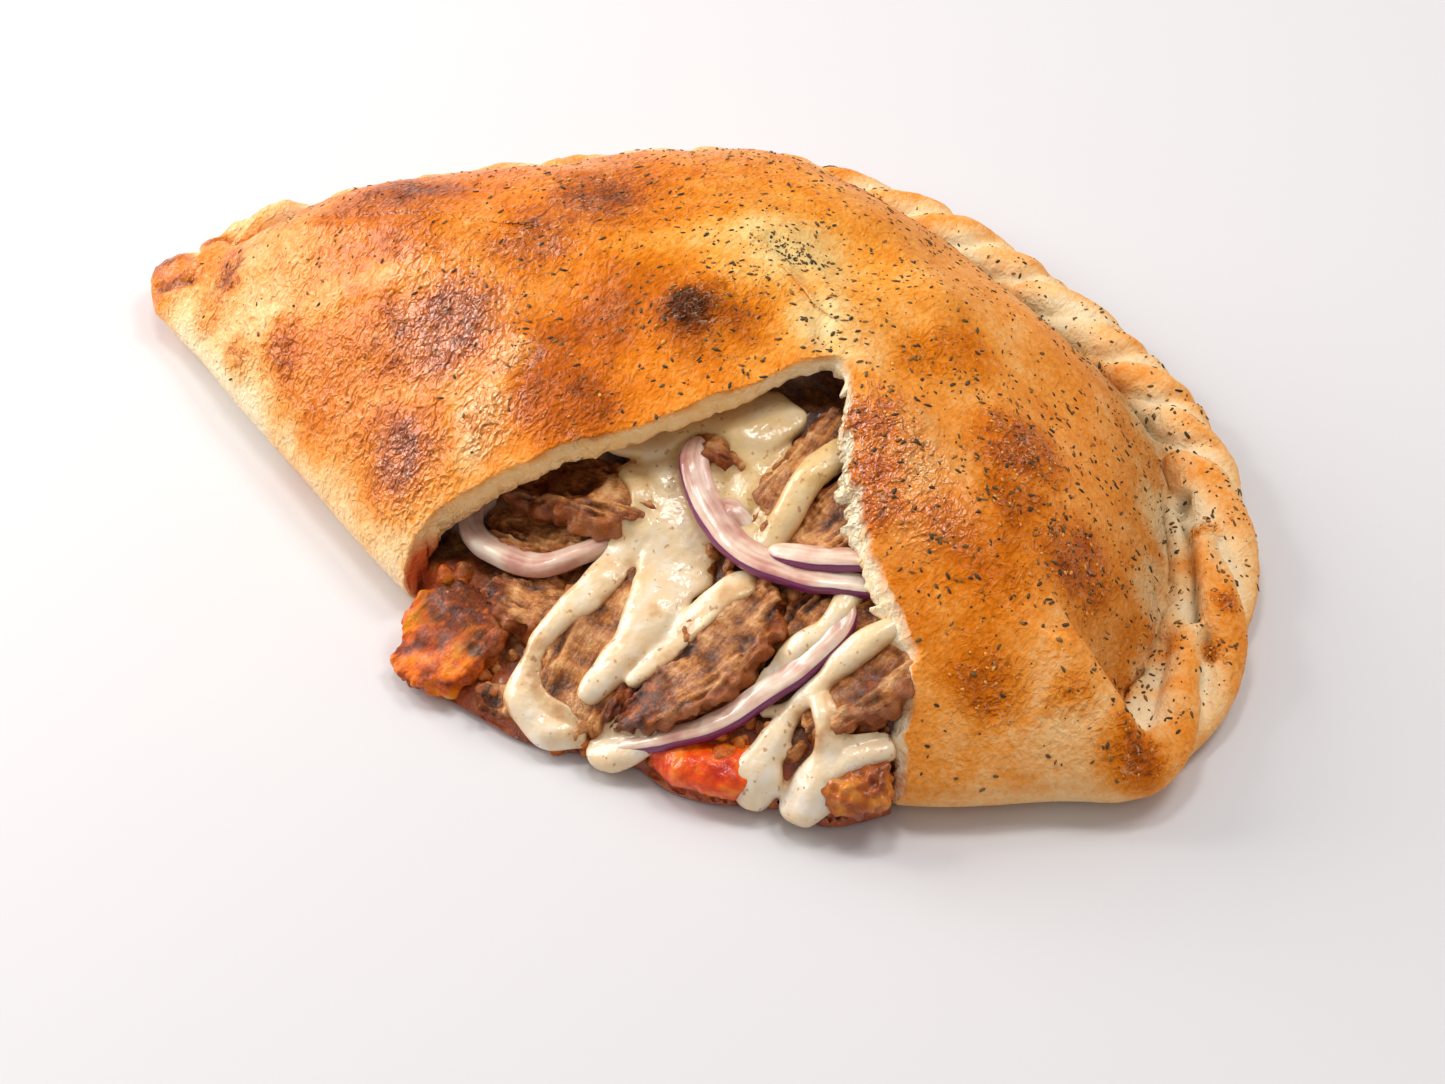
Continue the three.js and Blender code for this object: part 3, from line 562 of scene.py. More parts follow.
station_s = np.arange(AROUND_STEPS) / AROUND_STEPS * AROUND
ring_up = np.arange(RINGS + 1)[:, None]
valley_ring = BASE_RINGS + RIM_RINGS
crimped = crimp_share(station_s, 0)[None]
past_crimp = smooth(ring_up, valley_ring - 8, valley_ring)
on_crimp = crimped * smooth(ring_up, BASE_RINGS + 6, BASE_RINGS + 14) * (1 - past_crimp)
in_valley = crimped * past_crimp * (1 - smooth(ring_up, valley_ring + 4, valley_ring + 22))
ring_angles = rim_angles[np.clip(ring_up - BASE_RINGS - 1, 0, RIM_RINGS - 1)]
pleat_ridge = pleat_shape(pleat_phase(station_s)[None] + ring_angles / PLEAT_SLANT)

shaped = skin[1:-1]
facing = outward(skin)[1:-1]
top_side = smooth(facing[..., 2], -0.2, 0.2)
left_side = 1 - smooth(shaped[..., 0], -50, 5)
mottled = 1.0 + 0.45 * grain(shaped, 6, 14) + (0.15 + 0.3 * left_side) * grain(shaped, 2.6, 15)
dark = patches(shaped, BROWNED) * mottled
pale = patches(shaped, PALE)
fine = np.abs(grain(shaped, 5.5, 11))
relief = 0.55 * grain(shaped, 22, 1) + 0.3 * grain(shaped, 9, 2)
relief += (0.2 + 0.3 * left_side + 1.6 * np.clip(dark - 0.15, 0, 0.3)) * (0.35 - fine)
relief += patches(shaped, PUCKERED) * (0.3 - np.abs(grain(shaped, 3.3, 13)))
dried = 0.1 + 0.1 * left_side + np.clip(dark - 0.15, 0, 0.3)
relief += dried * 1.6 * (0.3 - np.abs(grain(shaped, 3.0, 12)))
relief += in_valley[1:-1] * (1.6 * (0.3 - np.abs(grain(shaped, 5, 16))) + 0.6 * grain(shaped, 2.4, 17))
relief += on_crimp[1:-1] * (0.5 * grain(shaped, 7, 18) + 0.5 * (0.3 - np.abs(grain(shaped, 4, 19))))
relief *= top_side
# Painted shade: how near each place is to a slit, for darkening its inside.
slit_shade = np.zeros(shaped.shape[:2])
for line, half_width, depth in FOLDS:
    away = away_from(shaped, line)
    relief -= depth * np.exp(-((away / half_width) ** 2)) * top_side
    if depth > SLIT_SHAPE * half_width:
        slit_shade = np.maximum(slit_shade, np.exp(-((away / SLIT_HALF_WIDTH) ** 2)))
skin[1:-1] += facing * relief[..., None]
skin[..., 2] += TIP_CURL * mound(skin, -145, -42, 10)
skin[..., 2] = np.maximum(skin[..., 2], 0)
skin[-1] = skin[-2].mean(axis=0)

# Broad shades of the top: plan place, reach, and how much darker.
SHADES = [
    (-84, -32, 24, 0.1),
    (-100, -50, 20, 0.05),
    (-70, 10, 40, 0.1),
    (-8, -36, 26, 0.17),
    (-12, -21, 10, 0.15),
    (-17, -46, 8, 0.14),
    (-30, 15, 45, 0.09),
    (-90, -20, 40, 0.05),
    (66, -28, 36, 0.08),
    (70, -22, 12, -0.08),
    (93, -37, 15, 0.12),
    (102, -50, 14, 0.07),
    (68, 2, 9, -0.08),
    (112, -56, 22, -0.08),
    (126, -46, 10, -0.14),
    (118, -12, 18, 0.04),
    (-104, -60, 24, -0.14),
    (-72, -68, 16, 0.14),
    (-52, -74, 14, 0.06),
    (-28, -80, 10, -0.14),
    (-34, -30, 12, -0.08),
    (-112, -60, 12, -0.04),
    (-132, -46, 14, 0.1),
    (-89, -49, 10, -0.1),
    (-138, -50, 9, 0.18),
    (-20, -2, 8, -0.06),
    (122, 28, 10, -0.1),
    (-93, -32, 10, -0.02),
    (-81, -36, 9, 0.06),
    (-82, -42, 10, 0.05),
    (-60, -76, 14, 0.06),
    (-60, -66, 24, 0.02),
    (57, 69, 20, -0.08),
]
shade = np.zeros(skin.shape[:2])
for x, y, reach, darker in SHADES:
    shade += darker * mound(skin, x, y, reach)
browned = 0.4 + shade
browned[1:-1] += 0.09 * grain(shaped, 30, 21) + 0.08 * grain(shaped, 11, 22) + dark - pale
far_left = 1 - smooth(skin[..., 0], -90, -30)
browned += on_crimp * (0.42 * (pleat_ridge - 1.05) - 0.12 * far_left) - 0.02 * in_valley
towards_tip = smooth(-skin[..., 0], 30, 60) * smooth(skin[..., 0], -138, -112)
low_down = 1 - smooth(skin[..., 2] - 5 * towards_tip, 3, 16)
browned -= (0.12 + 0.17 * towards_tip) * low_down * (1 - on_crimp)

# The top is more yellow round its middle and more red beside the opening. The valley behind the
# crimp and the inside of the slits are painted darker, a painted shade.
golden = mound(skin, 8, 8, 44)
crevice_shade = 0.55 * in_valley
crevice_shade[1:-1] = np.maximum(crevice_shade[1:-1], slit_shade)
ruddy = mound(skin, 65, -32, 16)

# Where the skin is wrinkled: all of the left side, and wherever it is dark.
crinkled = np.full(skin.shape[:2], 0.2)
crinkled[1:-1] += (0.3 + 0.25 * grain(shaped, 18, 23)) * left_side * smooth(shaped[..., 2], 8, 26)
crinkled[1:-1] += 1.6 * dark

# Where oil has gathered on the skin: place, radius, strength.
OILY = [
    (-44, -45, 46, 19, 0.9),
    (-24, -45, 49, 9, 0.8),
    (-22, -60, 42, 10, 0.9),
    (-37, -73, 29, 13, 0.7),
    (64, -32, 52, 17, 1.0),
    (57, -22, 56, 12, 1.0),
    (76, -34, 49, 12, 0.7),
    (80, -4, 47, 14, 0.2),
    (103, -13, 33, 12, 0.2),
    (-41, -10, 55, 16, 0.45),
    (-60, -35, 46, 14, 0.5),
    (-95, -40, 36, 26, 0.3),
]
thin_oil = 0.28 * left_side * (1 - 0.75 * golden[1:-1]) + 0.2 * np.clip(dark - 0.1, 0, 0.4)
oily = np.zeros(skin.shape[:2])
oily[1:-1] = np.maximum(patches(shaped, OILY), thin_oil)
crinkled = np.clip(np.maximum(crinkled, 1.1 * oily), 0, 1)


crust = wrapped("crust_baked", skin)
crust_skin = BVHTree.FromObject(crust, bpy.context.evaluated_depsgraph_get())
skin_places = KDTree(skin.size // 3)
for number, spot in enumerate(skin.reshape(-1, 3)):
    skin_places.insert(spot, number)
skin_places.balance()


def dough_hollow(around, roof_shares):
    """Rings of places round the space inside the dough, under a roof as thick as the wall."""
    s = np.arange(around) / around * AROUND
    at, inward = on_edge(s)
    share = crimp_share(s, 0)

    def edge(extra, height):
        plan = at + inward * (mix(WALL, crimp_width(s) + 1.5, share) + extra)[:, None]
        return np.column_stack([plan, np.full(around, float(height))])

    rings = [np.tile([*DOME_MIDDLE, WALL], (around, 1)).astype(float), edge(6, WALL), edge(0, WALL + 1)]
    for t in roof_shares:
        plan = mix(edge(0, 0)[:, :2], DOME_MIDDLE, t)
        high = mix(fold_height(t), crimped_height(t, s), crimp_share(s, t)) * thickness(*plan.T)
        high = high + top_relief(*plan.T) * smooth(t, 0.02, 0.3) - WALL
        rings.append(np.column_stack([plan, np.maximum(high, WALL + 2)]))
    return np.array(rings)


# The lip of the opening, from its left foot over the apex to its right foot.
LIP = [
    (-23, -90, 5),
    (-25, -86, 16),
    (-22, -79, 26),
    (-17, -74, 32),
    (-9, -67, 39),
    (6, -54, 47),
    (25, -34, 55),
    (33, -20, 58),
    (40, -13, 58),
    (47, -17, 57),
    (54, -28, 54),
    (62, -36, 51),
    (71, -44, 46),
    (80, -50, 40),
    (89, -54, 35),
    (94, -60, 29),
    (97, -67, 21),
    (101, -72, 12),
    (101, -74, 3),
]
LIP_APEX = 8
OPENING_MIDDLE = np.array([36.0, -66.0])
OPENING_FRONT = [(112, -92), (60, -118), (-20, -118)]
BASE_EDGE = [(-17, -84), (0, -86), (22, -87), (60, -81), (85, -72), (96, -68)]
BASE_CUT_MIDDLE = (34.0, -98.0)
CUT_SLANT = 3.5
LIP_STEPS = 22  # between two points of the lip
FRONT_STEPS = 14
HOLLOW_AROUND = 200
HOLLOW_ROOF = (0.06, 0.16, 0.3, 0.48, 0.7, 0.85, 1.0)  # shares of the way up to the middle

lip = through(LIP, LIP_STEPS)
lip_plan = [place[:2] for place in LIP]
lip_share = np.arange(len(lip)) / LIP_STEPS
right_lip = smooth(lip_share, LIP_APEX - 0.3, LIP_APEX + 0.5)
front = through([lip[-1, :2], *OPENING_FRONT, lip[0, :2]], FRONT_STEPS)[1:-1]
front = np.column_stack([front, np.zeros(len(front))])
lip_inward = OPENING_MIDDLE - lip[:, :2]
lip_inward /= np.linalg.norm(lip_inward, axis=1, keepdims=True)
teeth = 0.8 * grain(lip, 6, 31) + 0.45 * grain(lip, 2.2, 32)
teeth += right_lip * (2.2 * grain(lip, 5.0, 33) + 1.3 * grain(lip, 2.0, 34))


def cutter_ring(move_in, down, lowest, torn=1.0):
    """The lip moved in and down, closed by a line in front of the dough."""
    slant = move_in * mix(0.2, mix(0.7, 1.2, smooth(lip_share, 10, 14)), right_lip) + torn * teeth
    plan = lip[:, :2] + lip_inward * slant[:, None]
    along = np.column_stack([plan, np.maximum(lip[:, 2] - down, lowest)])
    return np.concatenate([along, front + (0, 0, lowest)])


def flat(ring, height):
    """A ring laid flat at a height."""
    return np.column_stack([ring[:, :2], np.full(len(ring), float(height))])


lip_teeth = (1.0 + right_lip) * (0.9 * grain(lip, 3.0, 35) + 0.7 * grain(lip, 1.3, 36))
inner = cutter_ring(CUT_SLANT, WALL, WALL + 0.9)
inner[: len(lip), :2] += lip_inward * lip_teeth[:, None]
half = cutter_ring(CUT_SLANT * 0.55, WALL * 0.5, WALL + 1.2, 0.7)
opening_middle = np.tile(OPENING_MIDDLE, (len(inner), 1))
opening_rings = [
    flat(opening_middle, WALL),
    flat(inner, WALL),
    inner,
    half,
    cutter_ring(0, 0, WALL + 1.5),
    cutter_ring(-CUT_SLANT, -6, WALL + 6, 0.6),
    flat(cutter_ring(-2 * CUT_SLANT, 0, 0, 0), DOME_TOP + 20),
    flat(opening_middle, DOME_TOP + 20),
]
base_loop = np.concatenate([through(BASE_EDGE, 10), OPENING_FRONT])
base_middle = np.tile(BASE_CUT_MIDDLE, (len(base_loop), 1))
base_rings = [
    flat(base_middle, -1),
    flat(base_loop, -1),
    flat(base_loop, WALL + 1),
    flat(base_middle, WALL + 1),
]


def pick(*pieces):
    """Selects these pieces alone, with the first one active."""
    bpy.ops.object.select_all(action="DESELECT")
    for piece in pieces:
        piece.select_set(True)
    bpy.context.view_layer.objects.active = pieces[0]


def combine(piece, other, operation="DIFFERENCE"):
    """Takes one solid out of another, or keeps both or their shared part, and deletes it."""
    pick(piece)
    boolean = piece.modifiers.new("cut", "BOOLEAN")
    boolean.operation = operation
    boolean.solver = "MANIFOLD"
    boolean.object = other
    bpy.ops.object.modifier_apply(modifier=boolean.name)
    bpy.data.objects.remove(other)


combine(crust, wrapped("dough_hollow", dough_hollow(HOLLOW_AROUND, HOLLOW_ROOF)))
combine(crust, wrapped("opening", np.array(opening_rings)[:, ::-1]))
combine(crust, wrapped("base_opening", np.array(base_rings)[:, ::-1]))


def add_values(piece, name, values):
    """A number for each vertex, which a material can read."""
    kept = piece.data.attributes.new(name, "FLOAT", "POINT")
    kept.data.foreach_set("value", np.asarray(values, np.float32))


places = vertices_of(crust)
depth = np.array([crust_skin.find_nearest(spot)[3] for spot in places.tolist()]) / MM
places = places / MM
nearest = np.array([skin_places.find(spot)[1] for spot in places.tolist()])
tones = {"browned": browned, "crinkled": crinkled, "oily": oily}
tones |= {"golden": golden, "ruddy": ruddy, "crevice_shade": crevice_shade}
for name, field in tones.items():
    add_values(crust, name, field.ravel()[nearest])
add_values(crust, "inside", smooth(depth, 0.15, 0.9))
add_values(crust, "toasted", 0.6 * (1 - smooth(places[:, 0], 22, 44)))
from_foot = np.linalg.norm(places - (-17, -84, 9), axis=1)
from_end = np.linalg.norm(places - (97, -72, 6), axis=1)
add_values(crust, "stained", np.maximum(1 - smooth(from_foot, 5, 20), 0.5 * (1 - smooth(from_end, 3, 12))))


def add_node(material, kind, inputs=(), output=0, **settings):
    """A shader node: its inputs are values or other nodes' outputs. Gives one of its outputs."""
    tree = material.node_tree
    added = tree.nodes.new("ShaderNode" + kind)
    for name, value in settings.items():
        setattr(added, name, value)
    for socket, value in dict(inputs).items():
        if isinstance(value, bpy.types.NodeSocket):
            tree.links.new(value, added.inputs[socket])
        else:
            added.inputs[socket].default_value = value
    return added.outputs[output]


def grain_node(material, size, detail=3.0, roughness=0.55):
    """Noise from 0 to 1 in lumps of a size in millimetres, on the piece's own coordinates."""
    spot = add_node(material, "TexCoord", output=3)
    fields = {"Vector": spot, "Scale": 1 / (size * MM), "Detail": detail, "Roughness": roughness}
    return add_node(material, "TexNoise", fields)


def product_node(material, first, second):
    """Two values multiplied."""
    return add_node(material, "Math", {0: first, 1: second}, operation="MULTIPLY")


def mixed_node(material, share, under, over, **settings):
    """The colour under, with a share of the colour over mixed in."""
    return add_node(material, "MixRGB", {0: share, 1: under, 2: over}, **settings)


def sum_node(material, start, *parts):
    """start plus each value times its weight, where a part is (value, weight)."""
    for value, weight in parts:
        start = add_node(material, "Math", {0: value, 1: weight, 2: start}, operation="MULTIPLY_ADD")
    return start


def ramp_node(material, value, stops):
    """Turns a value into a colour, or a grey, through (value, colour) stops."""
    fade = add_node(material, "ValToRGB", {0: value})
    ramp = fade.node.color_ramp
    for _ in stops[2:]:
        ramp.elements.new(0.5)
    for element, (at, colour) in zip(ramp.elements, stops):
        element.position = at
        element.color = colour if isinstance(colour, tuple) else (colour, colour, colour, 1)
    return fade


def value_node(material, name, output=2):
    """A number kept at each vertex of the piece or, from output 1, three numbers."""
    return add_node(material, "Attribute", output=output, attribute_name=name)


def bumped(material, heights):
    """A normal roughened with (height, depth in millimetres) pairs."""
    normal = None
    for height, depth in heights:
        fields = {"Height": height, "Strength": 1.0, "Distance": depth * MM}
        if normal:
            fields["Normal"] = normal
        normal = add_node(material, "Bump", fields)
    return normal


def finish_shader(material, bump=(), coat_bump=(), **sockets):
    """Joins outputs to the shader, and roughens its surface and the wet coat on it."""
    shader = material.node_tree.nodes["Principled BSDF"]
    for heights, socket in ((bump, "Normal"), (coat_bump, "Coat_Normal")):
        if heights:
            sockets[socket] = bumped(material, heights)
    for socket, output in sockets.items():
        material.node_tree.links.new(output, shader.inputs[socket.replace("_", " ")])


def crests_node(material, size, turn, stretch):
    """Thin crests with smooth hollows between them, from about 0.5 to 1."""
    spot = add_node(material, "TexCoord", output=3)
    spot = add_node(material, "Mapping", {0: spot, 2: (0, 0, turn), 3: stretch})
    fields = {"Vector": spot, "Scale": 1 / (size * MM), "Detail": 1.0, "Roughness": 0.5, "Distortion": 0.5}
    waves = add_node(material, "TexNoise", fields)
    away = add_node(material, "Math", {0: waves, 1: 0.5}, operation="SUBTRACT")
    away = add_node(material, "Math", {0: away}, operation="ABSOLUTE")
    return sum_node(material, 1.0, (away, -2.0))


def dress(piece, material, nodes):
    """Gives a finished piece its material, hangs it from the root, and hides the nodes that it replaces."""
    piece.data.materials.clear()
    piece.data.materials.append(material)
    piece.data.shade_smooth()
    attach(piece, "root")
    if nodes:
        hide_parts(*nodes)


baked = new_material("baked_dough", Specular_IOR_Level=0.05, Coat_Roughness=0.13)
wide_crests = crests_node(baked, 3.0, 0.5, (1, 0.6, 1))
narrow_crests = crests_node(baked, 1.5, 1.3, (1, 0.7, 1))
wrinkles = sum_node(baked, -0.6, (wide_crests, 1.0), (narrow_crests, 0.6))
tint = sum_node(
    baked,
    value_node(baked, "browned"),
    (sum_node(baked, -0.5, (grain_node(baked, 7, 5, 0.65), 1.0)), 0.34),
    (sum_node(baked, -0.5, (grain_node(baked, 1.4, 3, 0.6), 1.0)), 0.3),
)
# Painted shade and light: the hollows of the wrinkles are painted darker and their crests lighter, with a
# fine grain of tone mixed in.
crease_shade_and_grain = sum_node(baked, 0.25, (wrinkles, -0.9), (grain_node(baked, 1.1, 3, 0.6), 0.7))
crease_shade_and_grain = product_node(baked, crease_shade_and_grain, value_node(baked, "crinkled"))
tint = sum_node(baked, 0.0, (tint, 1.0), (crease_shade_and_grain, 0.26))
baked_colour = ramp_node(
    baked,
    tint,
    [
        (0.0, linear(246, 220, 178)),
        (0.2, linear(250, 198, 134)),
        (0.4, linear(242, 152, 60)),
        (0.55, linear(222, 118, 10)),
        (0.72, linear(186, 87, 2)),
        (0.88, linear(140, 62, 2)),
        (1.0, linear(94, 40, 2)),
    ],
)
# The colour by which each of these tones changes that of the skin; the last is the painted shade of the
# valley and slits.
TONE_TINTS = {"golden": (0.88, 0.99, 0.86, 1), "ruddy": (1, 0.84, 0.5, 1), "crevice_shade": (0.42, 0.38, 0.32, 1)}
for name, colour in TONE_TINTS.items():
    baked_colour = mixed_node(baked, value_node(baked, name), baked_colour, colour, blend_type="MULTIPLY")
# Painted highlights: thin pale lines on the crests of the wrinkles, in patches, stand for glints of the oil.
painted_glints = ramp_node(baked, crests_node(baked, 2.0, 0.9, (1, 0.7, 1)), [(0.93, 0.0), (0.985, 1.0)])
painted_glints = product_node(baked, painted_glints, value_node(baked, "crinkled"))
glint_places = ramp_node(baked, grain_node(baked, 5, 2), [(0.42, 0.0), (0.6, 0.36)])
painted_glints = product_node(baked, painted_glints, glint_places)
baked_colour = mixed_node(baked, painted_glints, baked_colour, linear(255, 226, 186))

# Inside the dough is a pale crumb, toasted on one side of the cut and stained with sauce at its feet.
crumb_colours = [(0.3, linear(250, 214, 156)), (0.6, linear(255, 240, 208))]
crumb_colour = ramp_node(baked, grain_node(baked, 2.2, 4, 0.6), crumb_colours)
crumb_colour = mixed_node(baked, value_node(baked, "toasted"), crumb_colour, linear(255, 194, 104))
stain = sum_node(baked, -0.85, (value_node(baked, "stained"), 1.3), (grain_node(baked, 4, 4), 1.3))
stain = ramp_node(baked, stain, [(0.2, 0.0), (0.8, 0.85)])
crumb_colour = mixed_node(baked, stain, crumb_colour, linear(224, 80, 4))
dough_colour = mixed_node(baked, value_node(baked, "inside"), baked_colour, crumb_colour)

skin_creases = product_node(baked, wrinkles, value_node(baked, "crinkled"))
finish_shader(
    baked,
    bump=[(skin_creases, 2.4), (grain_node(baked, 0.9, 3, 0.6), 0.3)],
    coat_bump=[(skin_creases, 0.9)],
    Base_Color=dough_colour,
    Roughness=ramp_node(baked, value_node(baked, "crinkled"), [(0.1, 0.5), (0.9, 0.34)]),
    Coat_Weight=ramp_node(baked, value_node(baked, "oily"), [(0.0, 0.04), (0.8, 1.0)]),
)
dress(crust, baked, ["crust"])


# ---------------------------------------------------------------- the filling
# Minced meat, melted cheese and tomato sauce fill the dough up to its roof and spill out on the plate
# side. In the opening they make a heap that slopes down to the front, and the slices lie on it.
HEAP_FRONT = (4, -108)  # height, and where
HEAP_BACK = (44, -8)
HEAP_DIP = 9
HEAP_COLUMNS, HEAP_ROWS = 159, 119  # faces of its grid
SPILL_MIDDLE = np.array([36.0, -78.0])
SPILL = [
    (-23, -87),
    (-17, -98),
    (-9, -104),
    (3, -104),
    (20, -104),
    (29, -101),
    (38, -97),
    (46, -95),
    (55, -96),
    (64, -94),
    (73, -89),
    (82, -84),
    (89, -84),
    (94, -79),
    (98, -73),
]


def heap_height(x, y):
    """The height of the heap at a place of the plan, before it is made uneven."""
    back = smooth(y, HEAP_FRONT[1], HEAP_BACK[1]) ** 0.9
    dip = (1 - smooth(x, -25, 30)) * smooth(y, -90, -60)
    return mix(HEAP_FRONT[0], HEAP_BACK[0], back) - HEAP_DIP * dip


def inside_opening(x, y):
    """Whether plan places are within the opening's outline."""
    loop = np.array(lip_plan + OPENING_FRONT, float)
    crossed = np.zeros(x.shape, bool)
    for (ax, ay), (bx, by) in zip(loop, np.roll(loop, -1, axis=0)):
        if ay != by:
            crossed ^= ((ay > y) != (by > y)) & (x < (bx - ax) * (y - ay) / (by - ay) + ax)
    return crossed


heap_x, heap_y = np.meshgrid(np.linspace(-60, 130, HEAP_COLUMNS + 1), np.linspace(-112, 30, HEAP_ROWS + 1))
heap_spots = np.stack([heap_x, heap_y, np.zeros_like(heap_x)], axis=-1)
heap_edge = np.minimum(1, away_from(heap_spots, SPILL) / 8)
heap_top = heap_height(heap_x, heap_y) * np.sqrt(1 - (1 - heap_edge) ** 2)
heap_top += heap_edge * (1.6 * grain(heap_spots, 8, 41) + 1.4 * (0.4 - np.abs(grain(heap_spots, 4, 42))))
under_dough = mix(heap_top, DOME_TOP + 10, smooth(away_from(heap_spots, lip_plan), 6, 26))
heap_top = np.where(inside_opening(heap_x, heap_y), np.maximum(heap_top, 1), under_dough)
heap_spots[..., 2] = heap_top

bpy.ops.mesh.primitive_grid_add(x_subdivisions=HEAP_COLUMNS, y_subdivisions=HEAP_ROWS, size=2, calc_uvs=False)
filling = bpy.context.object
filling.name = "filling_heap"
x, y, _ = vertices_of(filling).T
column = np.rint((x + 1) / 2 * HEAP_COLUMNS).astype(int)
row = np.rint((y + 1) / 2 * HEAP_ROWS).astype(int)
place_vertices(filling, heap_spots[row, column] * MM)
bpy.ops.object.mode_set(mode="EDIT")
bpy.ops.mesh.select_all(action="SELECT")
bpy.ops.mesh.extrude_region_move()
bpy.ops.transform.resize(value=(1, 1, 0), center_override=(0, 0, -0.001))
bpy.ops.mesh.select_all(action="SELECT")
bpy.ops.mesh.normals_make_consistent(inside=False)
bpy.ops.object.mode_set(mode="OBJECT")
spill_loop = np.concatenate([through(SPILL, 8), [(60, -40), (10, -60)]])
spill_rings = [
    flat(mix(SPILL_MIDDLE, spill_loop, share), height)
    for share, height in ((0, 0.3), (0.97, 0.3), (1, 1.5), (1, 16), (0, 16))
]
body = wrapped("filling_body", dough_hollow(HOLLOW_AROUND, HOLLOW_ROOF) + (0, 0, -0.2))
combine(body, wrapped("spill", np.array(spill_rings)), "UNION")
combine(filling, body, "INTERSECT")

# Where sauce has soaked in: plan place, radius, strength.
SAUCED = [
    (-10, -98, 17, 1.0),
    (-16, -84, 8, 0.8),
    (62, -92, 14, 0.8),
    (92, -78, 12, 0.7),
    (38, -99, 8, 0.7),
    (5, -104, 12, 0.6),
    (24, -103, 8, 0.5),
    (76, -90, 10, 0.8),
    (-2, -106, 11, 0.8),
    (14, -105, 10, 0.7),
    (34, -101, 9, 0.7),
    (50, -96, 9, 0.7),
]


def soaked(places):
    """How much sauce there is at each place."""
    return strongest(places[..., :2] + wander(places, 3, 6, (51, 52)), SAUCED, 0.5, 1.3)


add_values(filling, "sauced", soaked(vertices_of(filling) / MM))
mince = new_material("mince_and_sauce", Coat_Weight=0.5, Coat_Roughness=0.15)
mince_colour = ramp_node(
    mince,
    grain_node(mince, 4, 5, 0.65),
    [
        (0.3, linear(48, 22, 8)),
        (0.48, linear(104, 58, 26)),
        (0.62, linear(150, 94, 48)),
        (0.75, linear(196, 144, 86)),
    ],
)
sauce_colour = ramp_node(
    mince,
    grain_node(mince, 3, 4, 0.6),
    [(0.3, linear(150, 40, 10)), (0.55, linear(196, 84, 22)), (0.75, linear(222, 134, 48))],
)
finish_shader(
    mince,
    bump=[(grain_node(mince, 2.0, 4, 0.65), 0.9)],
    Base_Color=mixed_node(mince, value_node(mince, "sauced"), mince_colour, sauce_colour),
    Roughness=ramp_node(mince, grain_node(mince, 3), [(0.35, 0.28), (0.65, 0.6)]),
)
dress(filling, mince, ["filling"])


# ---------------------------------------------------------------- the meat
# Slices of roast meat, cut thin across the grain: rough, moist and grey-brown, with browned rims.
# They lie over each other on the heap, and the one at the left foot is covered in sauce.
SLICES = {  # each a line of places: x, y, height over the heap, width, thickness
    "meat_1": [
        (55, -56, 3, 11, 6),
        (53, -68, 5, 18, 7),
        (51, -78, 5, 17, 7),
        (46, -87, 4, 12, 7),
        (40, -94, 1, 4, 5),
    ],
    "meat_2": [(-5, -82, 1, 15, 5), (-6, -91, 2, 25, 5), (-8, -99, 1.5, 24, 5), (-12, -106, -1, 9, 4)],
    "meat_3": [(46, -16, 1, 10, 7), (46, -29, 3, 12, 7), (45, -38, 3, 11, 7), (44, -47, 0, 7, 6)],
    "meat_4": [(17, -35, 1, 9, 5), (26, -35, 3, 12, 6), (34, -35, 1, 9, 5)],
    "meat_5": [(61, -28, 1, 10, 7), (59, -39, 3, 15, 7), (54, -47, 0, 9, 6)],
    "meat_6": [(-17, -58, 4, 12, 7), (-5, -56, 5, 17, 7), (9, -55, 5, 19, 8), (19, -51, 3, 14, 6)],
    "meat_7": [(-18, -64, 0, 11, 6), (-5, -64, 1, 18, 6), (9, -61, 0, 13, 5)],
    "meat_8": [(27, -64, 2, 19, 5), (26, -80, 3, 26, 6), (27, -92, 2, 24, 6), (28, -100, -1, 14, 6)],
    "meat_9": [(86, -52, 0, 12, 6), (84, -64, 2, 17, 7), (77, -75, 0, 12, 6)],
    "meat_10": [(-6, -80, 0, 12, 7), (7, -79, 1, 17, 7), (18, -77, 0, 12, 6)],
    "meat_11": [(67, -51, 0, 11, 7), (64, -64, 0, 12, 7)],
    "meat_12": [(82, -44, -1, 11, 7), (73, -57, 0, 13, 7)],
    "crumb": [(10, -97, 0, 7, 6), (13, -103, -1, 7, 6)],
}
# Where slices are charred: plan place, radius, strength.
CHARRED = [
    (84, -66, 9, 0.5),
    (43, -90, 8, 0.9),
    (-8, -87, 11, 0.95),
    (3, -94, 6, 0.6),
    (44, -16, 5, 0.5),
    (-5, -58, 12, 0.5),
    (60, -36, 5, 0.4),
]
SWEEP_STEPS = 40  # between two places of a line


